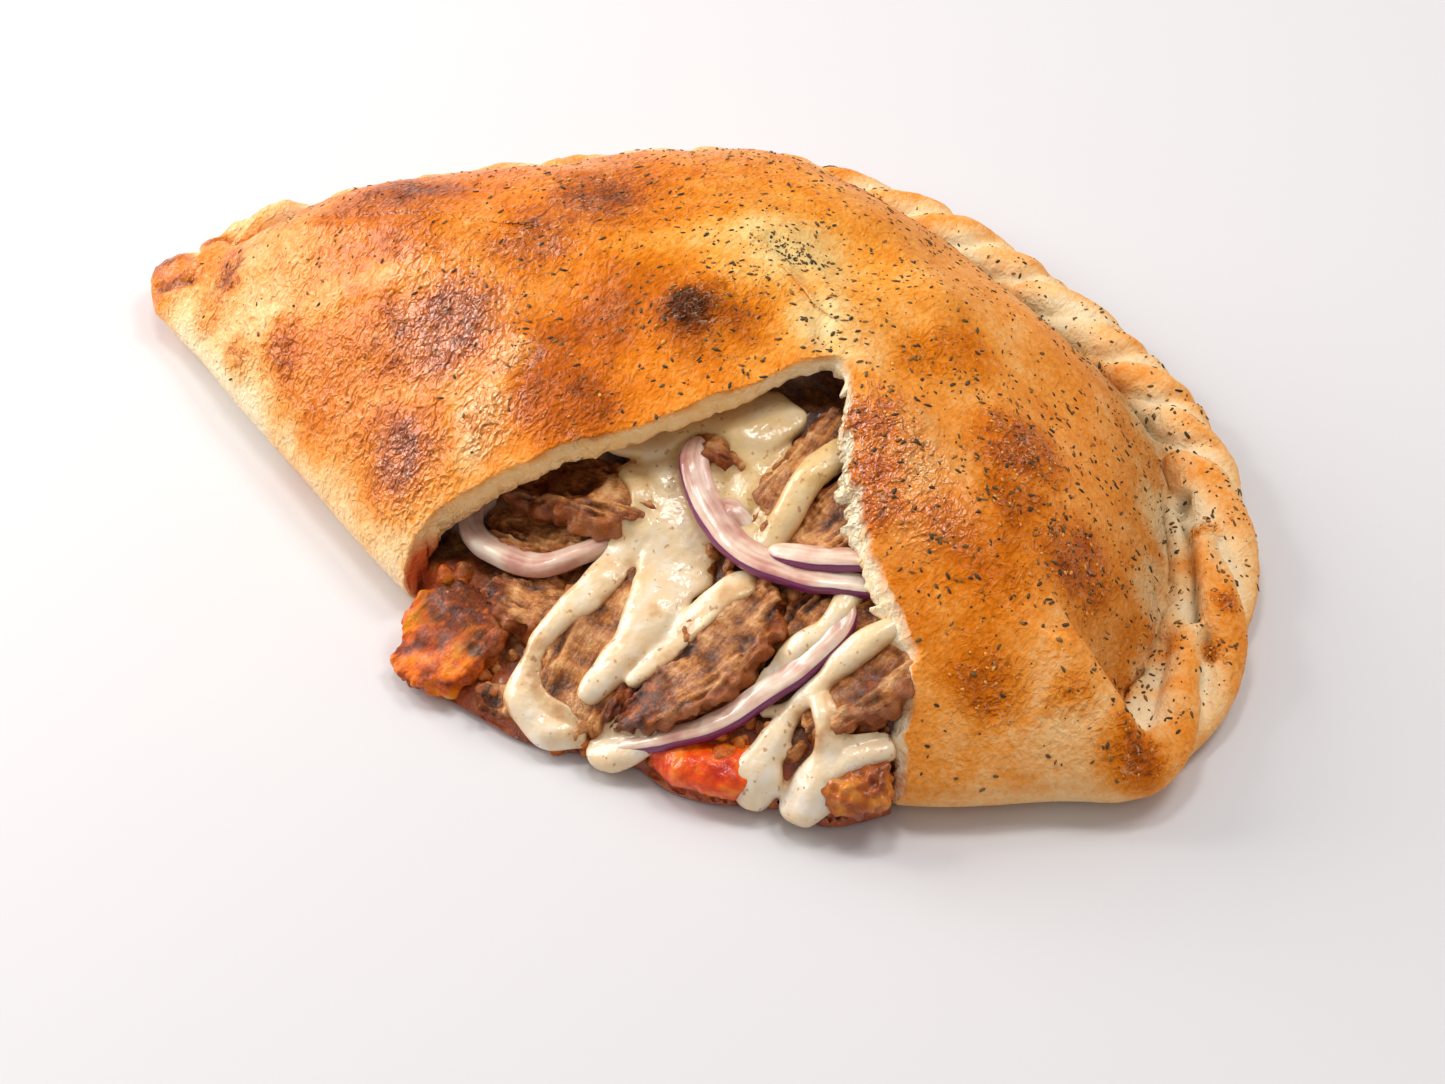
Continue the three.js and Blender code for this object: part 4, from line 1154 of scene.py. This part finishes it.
def sweep(path, roundness, steps, sides):
    """Rings along a line of places on the heap, nearly square across at 0 and oval at 1, with the length
    along them, the distance across, and that distance as a share of the half width."""
    path = np.array(path, float)
    knots = np.column_stack([path[:, :2], heap_height(path[:, 0], path[:, 1]) + path[:, 2]])
    line = through(knots, SWEEP_STEPS)
    line_steps = np.arange(len(line))
    turn = np.arange(steps + 1) / steps
    share = (1 - np.cos(math.pi * turn)) / 2 * (len(path) - 1)
    spots = np.stack([np.interp(share * SWEEP_STEPS, line_steps, line[:, i]) for i in range(3)], axis=-1)
    before = np.minimum(share.astype(int), len(path) - 2)
    between = smooth(share - before, 0, 1)[:, None]
    wide, thick = mix(path[before, 3:], path[before + 1, 3:], between).T / 2
    taper = np.minimum(1, np.sin(math.pi * turn) * 1.7).clip(0) ** 0.6
    wide, thick = wide * taper, thick * np.sqrt(taper)
    ahead = np.gradient(spots, axis=0)
    ahead /= np.linalg.norm(ahead, axis=1, keepdims=True)
    side = np.cross((0, 0, 1), ahead)
    side /= np.linalg.norm(side, axis=1, keepdims=True)
    over = np.cross(ahead, side)
    angle = 2 * math.pi * np.arange(sides) / sides
    across = np.sign(np.cos(angle)) * np.abs(np.cos(angle)) ** roundness
    up = np.sign(np.sin(angle)) * np.abs(np.sin(angle)) ** roundness
    rings = spots[:, None] + side[:, None] * (wide[:, None] * across)[..., None]
    rings = rings + over[:, None] * (thick[:, None] * up)[..., None]
    along = np.broadcast_to(lengths_along(spots)[:, None], rings.shape[:2])
    return rings, along, wide[:, None] * across, np.broadcast_to(across, rings.shape[:2])


def roughen(rings, relief):
    """Moves rings of places out by the relief, and keeps the ends closed."""
    facing = outward(rings)
    moved = rings + facing * relief[..., None]
    moved[0], moved[-1] = rings[0], rings[-1]
    moved[..., 2] = np.maximum(moved[..., 2], 0.2)
    return moved


def meat_slice(name, path, seed):
    """A slice with long fibres and ragged rims. Where it is soaked in sauce it is smoother."""
    rings, along, across, edge = sweep(path, 0.4, 120, 96)
    fibre = np.stack([along * 0.22, across, 0 * along], axis=-1)
    saucy = soaked(rings) if name == "meat_2" else np.zeros(along.shape)
    ragged = mix(2.6 * grain(rings, 3.2, seed + 20), 1.3 * grain(rings, 1.9, seed + 21), saucy)
    ragged = np.abs(edge) ** 3 * ragged
    rings = roughen(rings, (1.0 - 0.5 * saucy) * grain(rings, 8, seed) + ragged)
    rings[..., 2] += 1.3 * grain(rings * (1, 1, 0), 13, seed + 30)
    raised = 0.6 * grain(fibre, 3.4, seed + 40) + 1.8 * (0.25 - np.abs(grain(fibre, 2.0, seed + 50)))
    raised = raised + 0.45 * grain(rings, 1.5, seed + 55)
    raised = raised + 0.4 * (0.25 - np.abs(grain(rings, 3.5, seed + 57)))
    raised = raised * (1 - 0.6 * saucy)
    rings = roughen(rings, raised)
    rim = np.abs(edge) ** 4 + 0.6 * grain(rings, 6, seed + 60)
    char = strongest(rings[..., :2] + wander(rings, 2, 5, (61, 62)), CHARRED, 0.3, 1.4)
    values = {"fibre": fibre, "rim": np.clip(rim, 0, 1), "raised": raised, "charred": char, "sauced": saucy}
    return wrapped(name + "_slice", rings, **values)


roast = new_material("roast_meat", Coat_Roughness=0.16, Specular_IOR_Level=0.2)
fields = {"Vector": value_node(roast, "fibre", 1), "Scale": 0.9, "Detail": 4.0, "Roughness": 0.65}
strands = add_node(roast, "TexNoise", fields)
# Painted shade: the meat, and a little its sauce, is coloured lighter where its relief is raised and darker
# in its grooves.
meat_tone = sum_node(
    roast,
    -0.21,
    (strands, 0.5),
    (grain_node(roast, 6, 3), 0.36),
    (grain_node(roast, 0.8, 2), 0.28),
    (value_node(roast, "raised"), 0.32),
)
meat_colour = ramp_node(
    roast,
    meat_tone,
    [
        (0.12, linear(68, 33, 10)),
        (0.3, linear(136, 76, 30)),
        (0.45, linear(194, 124, 64)),
        (0.68, linear(236, 182, 122)),
    ],
)
rim_amount = sum_node(roast, -0.5, (value_node(roast, "rim"), 1.0), (grain_node(roast, 3, 4), 0.8))
rim_amount = ramp_node(roast, rim_amount, [(0.2, 0.0), (0.6, 0.75)])
meat_colour = mixed_node(roast, rim_amount, meat_colour, linear(150, 70, 18))
sauce_tone = ramp_node(
    roast,
    sum_node(roast, 0.0, (grain_node(roast, 7, 4, 0.6), 1.0), (value_node(roast, "raised"), 0.06)),
    [
        (0.34, linear(104, 40, 1)),
        (0.44, linear(184, 74, 0)),
        (0.54, linear(232, 112, 0)),
        (0.7, linear(240, 156, 12)),
    ],
)
sauce_amount = sum_node(roast, -0.3, (value_node(roast, "sauced"), 1.15), (grain_node(roast, 4.5, 3), 0.5))
sauce_amount = ramp_node(roast, sauce_amount, [(0.25, 0.0), (0.6, 1.0)])
meat_colour = mixed_node(roast, sauce_amount, meat_colour, sauce_tone)
char_amount = sum_node(roast, -0.35, (value_node(roast, "charred"), 1.1), (grain_node(roast, 3.5, 4), 0.7))
char_amount = ramp_node(roast, char_amount, [(0.2, 0.0), (0.7, 0.92)])
char_colour = ramp_node(
    roast,
    grain_node(roast, 2.5, 3),
    [(0.35, linear(58, 20, 4)), (0.55, linear(112, 44, 8)), (0.7, linear(186, 96, 34))],
)
wet_places = sum_node(roast, 0.0, (grain_node(roast, 4, 3), 1.0), (value_node(roast, "sauced"), -0.06))
finish_shader(
    roast,
    bump=[(strands, 0.6), (grain_node(roast, 0.9, 3, 0.65), 0.55)],
    coat_bump=[(grain_node(roast, 1.1, 3), 0.7)],
    Coat_Weight=ramp_node(roast, wet_places, [(0.4, 0.0), (0.58, 0.7)]),
    Base_Color=mixed_node(roast, char_amount, meat_colour, char_colour),
    Roughness=ramp_node(roast, grain_node(roast, 2.5, 3), [(0.4, 0.3), (0.62, 0.62)]),
)
slices = []
for number, (name, path) in enumerate(SLICES.items()):
    slices.append(meat_slice(name, path, 7.0 * number + 1))
    dress(slices[-1], roast, [name])


def straight_down(tree, x, y):
    """What lies under a place of the plan: the place where it is met, how it faces, and two more."""
    return tree.ray_cast(Vector((x * MM, y * MM, 0.2)), Vector((0, 0, -1)))


# Small bits of meat lie loose between the slices.
LOOSE_BITS = 150
bits = []
chance = random.Random(61)
heap_skin = BVHTree.FromObject(filling, bpy.context.evaluated_depsgraph_get())
while len(bits) < LOOSE_BITS:
    x, y = chance.uniform(-24, 98), chance.uniform(-104, -14)
    if not inside_opening(np.array([x]), np.array([y]))[0]:
        continue
    hit = straight_down(heap_skin, x, y)[0]
    if hit is None or away_from(np.array([[x, y, 0.0]]), lip_plan)[0] < 5:
        continue
    size = chance.uniform(1.2, 3.4)
    turn = (chance.uniform(0, 3), chance.uniform(0, 3), chance.uniform(0, 3))
    bpy.ops.mesh.primitive_ico_sphere_add(
        subdivisions=3,
        radius=1,
        location=hit + Vector((0, 0, size * 0.35 * MM)),
        rotation=turn,
        scale=(size * MM, size * chance.uniform(0.5, 0.9) * MM, size * chance.uniform(0.4, 0.8) * MM),
    )
    bits.append(bpy.context.object)
pick(*bits)
bpy.ops.object.transform_apply(location=True, rotation=True, scale=True)
bpy.ops.object.join()
mince_bits = bpy.context.object
mince_bits.name = "mince_bits"
bit_places = vertices_of(mince_bits) / MM
bit_facing = np.array([vertex.normal[:] for vertex in mince_bits.data.vertices])
bit_relief = 0.5 * grain(bit_places, 2.4, 71) + 0.3 * grain(bit_places, 1.1, 72)
place_vertices(mince_bits, (bit_places + bit_facing * bit_relief[:, None]) * MM)
add_values(mince_bits, "raised", bit_relief)
add_values(mince_bits, "sauced", 0.6 * soaked(bit_places))
dress(mince_bits, roast, [])


# ---------------------------------------------------------------- the cheese
# Melted cheese, pulled into strands when the slices were parted. Each strand sags over what lies
# under it and ends in a rounded drip; where strands meet they run together.
CHEESE = {  # strands, each a line of places as for the slices
    "cheese_left": [
        [
            (-5, -45, 6, 10, 6),
            (7, -40, 5, 15, 6),
            (16, -32, 3, 12, 5),
            (30, -26, 4, 18, 7),
            (38, -21, 2, 9, 5),
        ],
        [(30, -28, 3, 15, 6), (36, -37, 2, 14, 6), (33, -44, 2, 11, 5), (25, -44, 2, 9, 5)],
        [
            (10, -40, 4, 12, 5),
            (20, -46, 4.5, 13, 5),
            (27, -53, 5, 18, 5),
            (31, -61, 5, 18, 5),
            (33, -70, 5, 13, 5),
            (33, -80, 5, 9, 5),
            (31, -94, 4, 8, 7),
        ],
        [
            (22, -48, 4, 10, 5),
            (20, -60, 4, 9, 5),
            (18, -74, 5, 8.5, 5),
            (15, -86, 4, 6, 5),
            (15, -91, 3, 5, 5),
            (18, -98, 0, 9, 8),
            (26, -100, -2, 9, 7),
            (35, -98, -2, 5, 6),
        ],
        [
            (49, -55, 5, 7, 5),
            (47, -62, 6, 9, 5),
            (44, -69, 6.5, 8.5, 5),
            (41, -77, 6.5, 8, 5),
            (38, -87, 4, 5, 4),
        ],
        [(52, -23, 4, 7, 5), (49, -34, 6, 7.5, 5), (49, -42, 6, 7, 5), (47, -53, 3, 6, 4)],
        [(26, -62, 4, 3, 3), (21, -66, 4, 2.4, 2.4), (17, -70, 4, 3, 3)],
        [(38, -66, 5, 3, 3), (44, -70, 5, 2.6, 2.6)],
        [(25, -42, 4, 8, 4), (37, -47, 4, 9, 4), (47, -50, 4, 8, 4)],
        [(8, -47, 3, 6, 4), (18, -54, 3, 7, 4), (24, -60, 3, 6, 4)],
    ],
    "cheese_right": [
        [(70, -46, 4, 6, 5), (71, -57, 6, 6, 5), (67, -65, 5.5, 6, 5), (64, -76, 3, 5, 4)],
        [
            (85, -49, 4, 6, 5),
            (79, -60, 6, 7, 5),
            (76, -67, 5, 5, 4.5),
            (73, -74, 5, 5, 4),
            (72, -81, 5, 7, 6),
            (72, -86, 2, 10.5, 8),
            (74, -91, -1, 9, 8),
        ],
        [
            (73, -68, 4, 4, 4),
            (81, -74, 4, 5, 4),
            (85, -78, 4, 7, 5),
            (84, -83, 2.5, 13, 9),
            (81, -88, -1, 9, 7),
        ],
        [(95, -68, 2, 5, 5), (91, -74, 4, 6.5, 5), (84, -81, 3, 8, 5)],
        [(74, -70, 4, 3, 3), (70, -74, 4, 2.4, 2.4), (66, -77, 4, 3, 3)],
        [(77, -81, 3, 3, 3), (73, -79, 3, 2.4, 2.4)],
    ],
    "cheese_front": [[(50, -92, 0, 5, 5), (45, -95, 1, 7, 6), (41, -97, 0, 9.5, 7), (37, -99, -2, 7, 6)]],
}

STRAND_SIDES = 36

pile_places, pile_faces = [], []
for lying in [filling, *slices]:
    start = sum(len(part) for part in pile_places)
    pile_places.append(vertices_of(lying))
    pile_faces += [[start + corner for corner in face.vertices] for face in lying.data.polygons]
pile = BVHTree.FromPolygons(np.concatenate(pile_places).tolist(), pile_faces)


def run_together(piece, voxel, rounds):
    """Joins the overlapping bodies of a piece into one skin and rounds the corners between them."""
    pick(piece)
    remesh = piece.modifiers.new("skin", "REMESH")
    remesh.mode = "VOXEL"
    remesh.voxel_size = voxel * MM
    bpy.ops.object.modifier_apply(modifier=remesh.name)
    rounding = piece.modifiers.new("rounding", "SMOOTH")
    rounding.factor = 0.5
    rounding.iterations = rounds
    bpy.ops.object.modifier_apply(modifier=rounding.name)


# The height of what lies under the cheese, and the same evened out, as it sags over gaps.
GROUND_STEP = 1.5
ground_x, ground_y = np.meshgrid(np.arange(-34, 112, GROUND_STEP), np.arange(-112, 0, GROUND_STEP))
ground = np.zeros(ground_x.shape)
for spot, (x, y) in enumerate(zip(ground_x.ravel(), ground_y.ravel())):
    hit = straight_down(pile, x, y)[0]
    ground.ravel()[spot] = hit.z / MM if hit else 0
high, wide = ground.shape
sagging = ground
for _ in range(3):
    padded = np.pad(sagging, 1, mode="edge")
    sagging = sum(padded[i : i + high, j : j + wide] for i in range(3) for j in range(3)) / 9


def height_of(field, x, y):
    """The height of a field of the ground at plan places."""
    column = np.clip((x + 34) / GROUND_STEP, 0, field.shape[1] - 1.001)
    row = np.clip((y + 112) / GROUND_STEP, 0, field.shape[0] - 1.001)
    i, j = row.astype(int), column.astype(int)
    low = mix(field[i, j], field[i, j + 1], column - j)
    return mix(low, mix(field[i + 1, j], field[i + 1, j + 1], column - j), row - i)


def draped(rings, up):
    """Lets a strand sag onto the slices under it: up is 1 on its top and -1 underneath."""
    middle = rings.mean(axis=1, keepdims=True)
    under = height_of(sagging, middle[..., 0], middle[..., 1])
    rings[..., 2] += 0.7 * (under + 0.5 - middle[..., 2])
    local = height_of(sagging, rings[..., 0], rings[..., 1])
    over = np.maximum(rings[..., 2], local + 0.5 + 1.1 * up)
    rings[..., 2] = np.where(up > -0.3, over, rings[..., 2])
    return rings


def cheese_run(name, paths, seed):
    """The strands of one run, melted into one another."""
    strands = []
    for number, path in enumerate(paths):
        rings = sweep(path, 0.85, 70, STRAND_SIDES)[0]
        up = np.sin(2 * math.pi * np.arange(STRAND_SIDES) / STRAND_SIDES) * np.ones(rings.shape[:2])
        side = rings - rings.mean(axis=1, keepdims=True)
        rings += side * (1, 1, 0) * (0.25 * grain(rings, 7, seed + number + 0.5))[..., None]
        rings = draped(rings, up)
        strands.append(wrapped(f"{name}_{number}", roughen(rings, 0.3 * grain(rings, 5, seed + number))))
    pick(*strands)
    bpy.ops.object.join()
    run = bpy.context.object
    run.name = name + "_melted"
    run_together(run, 0.55, 7)
    return run


melted = new_material(
    "melted_cheese",
    Coat_Weight=0.6,
    Coat_Roughness=0.08,
    Subsurface_Weight=0.25,
    Subsurface_Radius=(1.0, 0.7, 0.35),
    Subsurface_Scale=0.004,
    Roughness=0.35,
)
cheese_tone = ramp_node(
    melted,
    sum_node(melted, 0.0, (grain_node(melted, 7, 3), 1.0), (value_node(melted, "thin"), -0.32)),
    [
        (0.1, linear(206, 158, 108)),
        (0.3, linear(236, 202, 156)),
        (0.5, linear(237, 214, 180)),
        (0.65, linear(243, 229, 210)),
    ],
)
cheese_tone = mixed_node(melted, value_node(melted, "pooled"), cheese_tone, linear(224, 186, 112))
fleck_amount = ramp_node(melted, grain_node(melted, 1.5, 1, 0.4), [(0.67, 0.0), (0.74, 0.65)])
finish_shader(
    melted,
    bump=[(grain_node(melted, 5, 2), 0.5), (grain_node(melted, 2.2, 2), 0.25)],
    coat_bump=[(grain_node(melted, 4, 2), 0.5)],
    Base_Color=mixed_node(melted, fleck_amount, cheese_tone, linear(164, 100, 26)),
)
for number, (name, paths) in enumerate(CHEESE.items()):
    run = cheese_run(name, paths, 5.0 * number + 200)
    under = [pile.find_nearest(spot)[3] for spot in vertices_of(run).tolist()]
    add_values(run, "thin", 1 - smooth(np.array(under) / MM, 0.2, 2.6))
    add_values(run, "pooled", 0.62 * smooth(vertices_of(run)[:, 1] / MM, -76, -36))
    dress(run, melted, [name])


# ---------------------------------------------------------------- the onion
# Half rings of red onion, softened in the oven: pale lilac flesh under a thin purple skin.
ONION = {  # each a line of places as for the slices
    "onion_1": [
        (-19, -56, 3, 5, 5),
        (-22, -65, 5, 6, 6),
        (-20, -70, 5, 6, 5),
        (-15, -73, 5, 6, 5),
        (-8, -74, 5, 6, 5),
        (2, -73, 5, 6, 4.5),
        (10, -67, 5, 5, 4.5),
        (17, -59, 3, 5, 4),
    ],
    "onion_2": [
        (20, -37, 5, 6, 4),
        (24, -44, 6.5, 7, 4),
        (33, -50, 6, 7.5, 4),
        (45, -54, 6, 7.5, 4),
        (60, -53, 6, 6.5, 4),
        (68, -50, 5, 6, 4),
        (79, -45, 2, 5, 4),
    ],
    "onion_3": [
        (50, -51, 5, 5, 4),
        (57, -50, 6.5, 6, 4),
        (63, -48, 6.5, 6, 4),
        (69, -45, 6, 6, 4),
        (77, -40, 4, 5, 4),
    ],
    "onion_4": [
        (70, -50, 3, 5, 4),
        (73, -58, 5, 6, 4),
        (70, -68, 5, 6, 4),
        (66, -75, 5, 6, 4),
        (60, -84, 4, 6, 4),
        (52, -91, 3, 5, 4),
        (43, -97, 1, 4, 4),
    ],
    "onion_5": [(33, -50, 1, 5, 4), (36, -47, 3.5, 7, 5), (42, -47, 1, 5, 4)],
}
SKIN_SIDE = {"onion_1": 0.2, "onion_2": -1, "onion_3": -1, "onion_4": 1, "onion_5": 1}


def onion_ring(name, path, seed):
    """A slice with faint lines along it, and the purple skin on one of its sides."""
    rings, along, across, edge = sweep(path, 0.75, 90, 40)
    height = rings[..., 2] - rings[..., 2].mean(axis=1, keepdims=True)
    rings = roughen(rings, 0.3 * grain(rings, 5, seed))
    fibre = np.stack([along * 0.1, across, 0 * along], axis=-1)
    rings = roughen(rings, 0.08 * grain(fibre, 1.2, seed))
    skin_side = smooth(edge * SKIN_SIDE[name], 0.84, 0.96) * (1 - smooth(height, 0.9, 1.5))
    return wrapped(name + "_slice", rings, fibre=fibre, skin=skin_side)


onion = new_material(
    "red_onion",
    Coat_Weight=0.5,
    Coat_Roughness=0.1,
    Roughness=0.3,
    Subsurface_Weight=0.3,
    Subsurface_Radius=(1.0, 0.6, 0.8),
    Subsurface_Scale=0.003,
)
fields = {"Vector": value_node(onion, "fibre", 1), "Scale": 0.9, "Detail": 2.0}
onion_lines = add_node(onion, "TexNoise", fields)
flesh = ramp_node(
    onion,
    sum_node(onion, -0.17, (onion_lines, 0.45), (grain_node(onion, 9, 3), 0.85)),
    [
        (0.3, linear(196, 134, 120)),
        (0.45, linear(222, 180, 158)),
        (0.6, linear(238, 214, 192)),
        (0.8, linear(246, 236, 218)),
    ],
)
skin_amount = sum_node(onion, -0.2, (value_node(onion, "skin"), 1.0), (grain_node(onion, 3, 2), 0.4))
skin_amount = ramp_node(onion, skin_amount, [(0.25, 0.0), (0.6, 1.0)])
finish_shader(
    onion,
    bump=[(onion_lines, 0.2)],
    Base_Color=mixed_node(onion, skin_amount, flesh, linear(122, 30, 92)),
)
for number, (name, path) in enumerate(ONION.items()):
    dress(onion_ring(name, path, 3.0 * number + 300), onion, [name])


# ---------------------------------------------------------------- the tomato and the sauce
# A piece of cooked tomato, split and shining, and beside it sauce that ran out with the meat juice.
LUMPS = {
    "tomato": [(48, -90, -2, 11, 7), (58, -89, -2, 15, 9), (66, -87, -2, 15, 9), (74, -83, -3, 9, 7)],
    "sauce": [(84, -79, -3, 10, 7), (91, -78, -3, 14, 9), (98, -74, -3, 10, 8)],
}


def soft_lump(name, path, seed, rough):
    """A soft wet piece with dents in it, and the rougher the more broken up it is."""
    rings = sweep(path, 0.9, 110, 90)[0]
    relief = 1.1 * grain(rings, 6, seed) + (0.6 + rough) * (0.35 - np.abs(grain(rings, 3, seed + 5)))
    return wrapped(name, roughen(rings, relief + rough * grain(rings, 2, seed + 6)))


def wet_material(name, roughness, coat_roughness, bump_size, bump, coat_bump, colours):
    """A mottled material with a wet coat, and bumps of a size and depths in both."""
    gloss = {"Roughness": roughness, "Coat_Roughness": coat_roughness}
    material = new_material(name, Coat_Weight=0.3, Specular_IOR_Level=0.3, **gloss)
    finish_shader(
        material,
        bump=[(grain_node(material, bump_size, 3), bump)],
        coat_bump=[(grain_node(material, bump_size, 2), coat_bump)],
        Base_Color=ramp_node(material, grain_node(material, 5, 4, 0.6), colours),
    )
    return material


tomato_colours = [(0.3, linear(186, 32, 0)), (0.5, linear(232, 76, 4)), (0.72, linear(248, 140, 30))]
tomato_red = wet_material("cooked_tomato", 0.3, 0.06, 1.6, 0.4, 0.3, tomato_colours)
dress(soft_lump("tomato_piece", LUMPS["tomato"], 400, 0.1), tomato_red, ["tomato"])

sauce_colours = [(0.3, linear(116, 44, 4)), (0.5, linear(180, 88, 14)), (0.72, linear(224, 146, 50))]
thick_sauce = wet_material("thick_sauce", 0.35, 0.08, 2, 0.5, 0.4, sauce_colours)
dress(soft_lump("sauce_pool", LUMPS["sauce"], 410, 1.0), thick_sauce, ["sauce"])


# ---------------------------------------------------------------- the herbs and the crumbs on top
# Dried herbs were sprinkled on the dough before it was baked, and golden specks of its flour and
# cheese toasted on the blisters. Each is a small flat scrap, half sunk in the skin.
crust_top = BVHTree.FromObject(crust, bpy.context.evaluated_depsgraph_get())
SCRAP_LIFT = 0.3  # share of its half thickness
HERBS_TRIED = 8200
HERB_SIZES = ((0.45, 2.1), (0.35, 0.9), (0.25, 0.5))
SPECK_SIZES = ((0.5, 1.6), (0.4, 1.0), (0.3, 0.7))


def thick_with_herbs(x, y):
    """How likely a herb is to lie at a place of the plan, from 0 to 1."""
    likely = 0.22 + 0.4 * smooth(x, -90, -10) + 0.25 * smooth(x, 30, 90)
    likely += 0.5 * math.exp(-((x - 12) ** 2 + (y - 9) ** 2) / 18**2)
    likely += 0.5 * math.exp(-((x - 112) ** 2 + (y - 10) ** 2) / 20**2)
    likely *= 1 - 0.75 * smooth(-y, 30, 62)
    return likely * (0.55 + 0.9 * max(0, 0.5 + noise.noise((x / 16, y / 16, 3.0))))


def sprinkle(name, spots, sizes, seed):
    """One small scrap, modelled once, copied to each spot and turned at random on the skin there. The
    sizes are the smallest and largest length, width and thickness. None lies on the cut, on steep
    sides or near the base."""
    chance = random.Random(seed)
    bpy.ops.mesh.primitive_ico_sphere_add(subdivisions=1, radius=1)
    scrap = bpy.context.object
    corners = vertices_of(scrap)
    sides = np.array([face.vertices[:] for face in scrap.data.polygons])
    bpy.data.objects.remove(scrap)
    places, faces, shades = [], [], []
    for x, y in spots:
        hit, normal, _, _ = straight_down(crust_top, x, y)
        if hit is None or hit.z < 7 * MM or normal.z < 0.15:
            continue
        if crust_skin.find_nearest(hit)[3] > 0.2 * MM:
            continue
        large = chance.random() ** 1.8
        long, wide, thick = (mix(low, high, large) * chance.uniform(0.8, 1.2) / 2 for low, high in sizes)
        turned = Matrix.Rotation(chance.uniform(0, 6.28), 3, "Z")
        turned = normal.to_track_quat("Z", "Y").to_matrix() @ turned
        jitter = np.array([[chance.uniform(0.7, 1.25) for _ in range(3)] for _ in corners])
        shape = corners * jitter * (long, wide, thick) + (0, 0, SCRAP_LIFT * thick)
        faces.append(sides + len(places) * len(corners))
        places.append(shape @ np.array(turned.transposed()) * MM + np.array(hit))
        shades.append(np.full(len(corners), chance.random()))
    mesh = bpy.data.meshes.new(name)
    mesh.from_pydata(np.concatenate(places).tolist(), [], np.concatenate(faces).tolist())
    piece = bpy.data.objects.new(name, mesh)
    bpy.context.scene.collection.objects.link(piece)
    add_values(piece, "shade", np.concatenate(shades))
    return piece


def scattered(x, y, spread_x, spread_y, count):
    """Places of the plan, thickest round a middle."""
    return [(chance.gauss(x, spread_x), chance.gauss(y, spread_y)) for _ in range(count)]


def scrap_material(name, colours, **settings):
    """A material that gives each scrap a shade of its own."""
    material = new_material(name, **settings)
    finish_shader(material, Base_Color=ramp_node(material, value_node(material, "shade"), colours))
    return material


chance = random.Random(77)
herb_spots = []
for _ in range(HERBS_TRIED):
    x, y = chance.uniform(-130, 140), chance.uniform(-70, 88)
    if chance.random() < 0.8 * thick_with_herbs(x, y):
        herb_spots.append((x, y))
herb_spots += scattered(12, 10, 3, 2.4, 70)
herb_colours = [(0.2, linear(54, 42, 22)), (0.6, linear(98, 74, 34)), (0.95, linear(146, 98, 38))]
herb_scrap = scrap_material("dried_herb", herb_colours, Roughness=0.7)
dress(sprinkle("herb_flecks", herb_spots, HERB_SIZES, 78), herb_scrap, [])

speck_spots = []
for x, y, _, radius, strength in BROWNED:
    if x > 10 and strength > 0.22:
        speck_spots += scattered(x, y, radius / 2, radius / 2, int(radius * 3))
speck_spots += [(chance.uniform(-115, 120), chance.uniform(-58, 40)) for _ in range(260)]
speck_colours = [(0.1, linear(196, 104, 28)), (0.6, linear(226, 146, 50)), (0.95, linear(236, 168, 74))]
toasted = scrap_material("toasted_specks", speck_colours, Roughness=0.3, Coat_Weight=0.3)
dress(sprinkle("toasted_specks", speck_spots, SPECK_SIZES, 79), toasted, [])
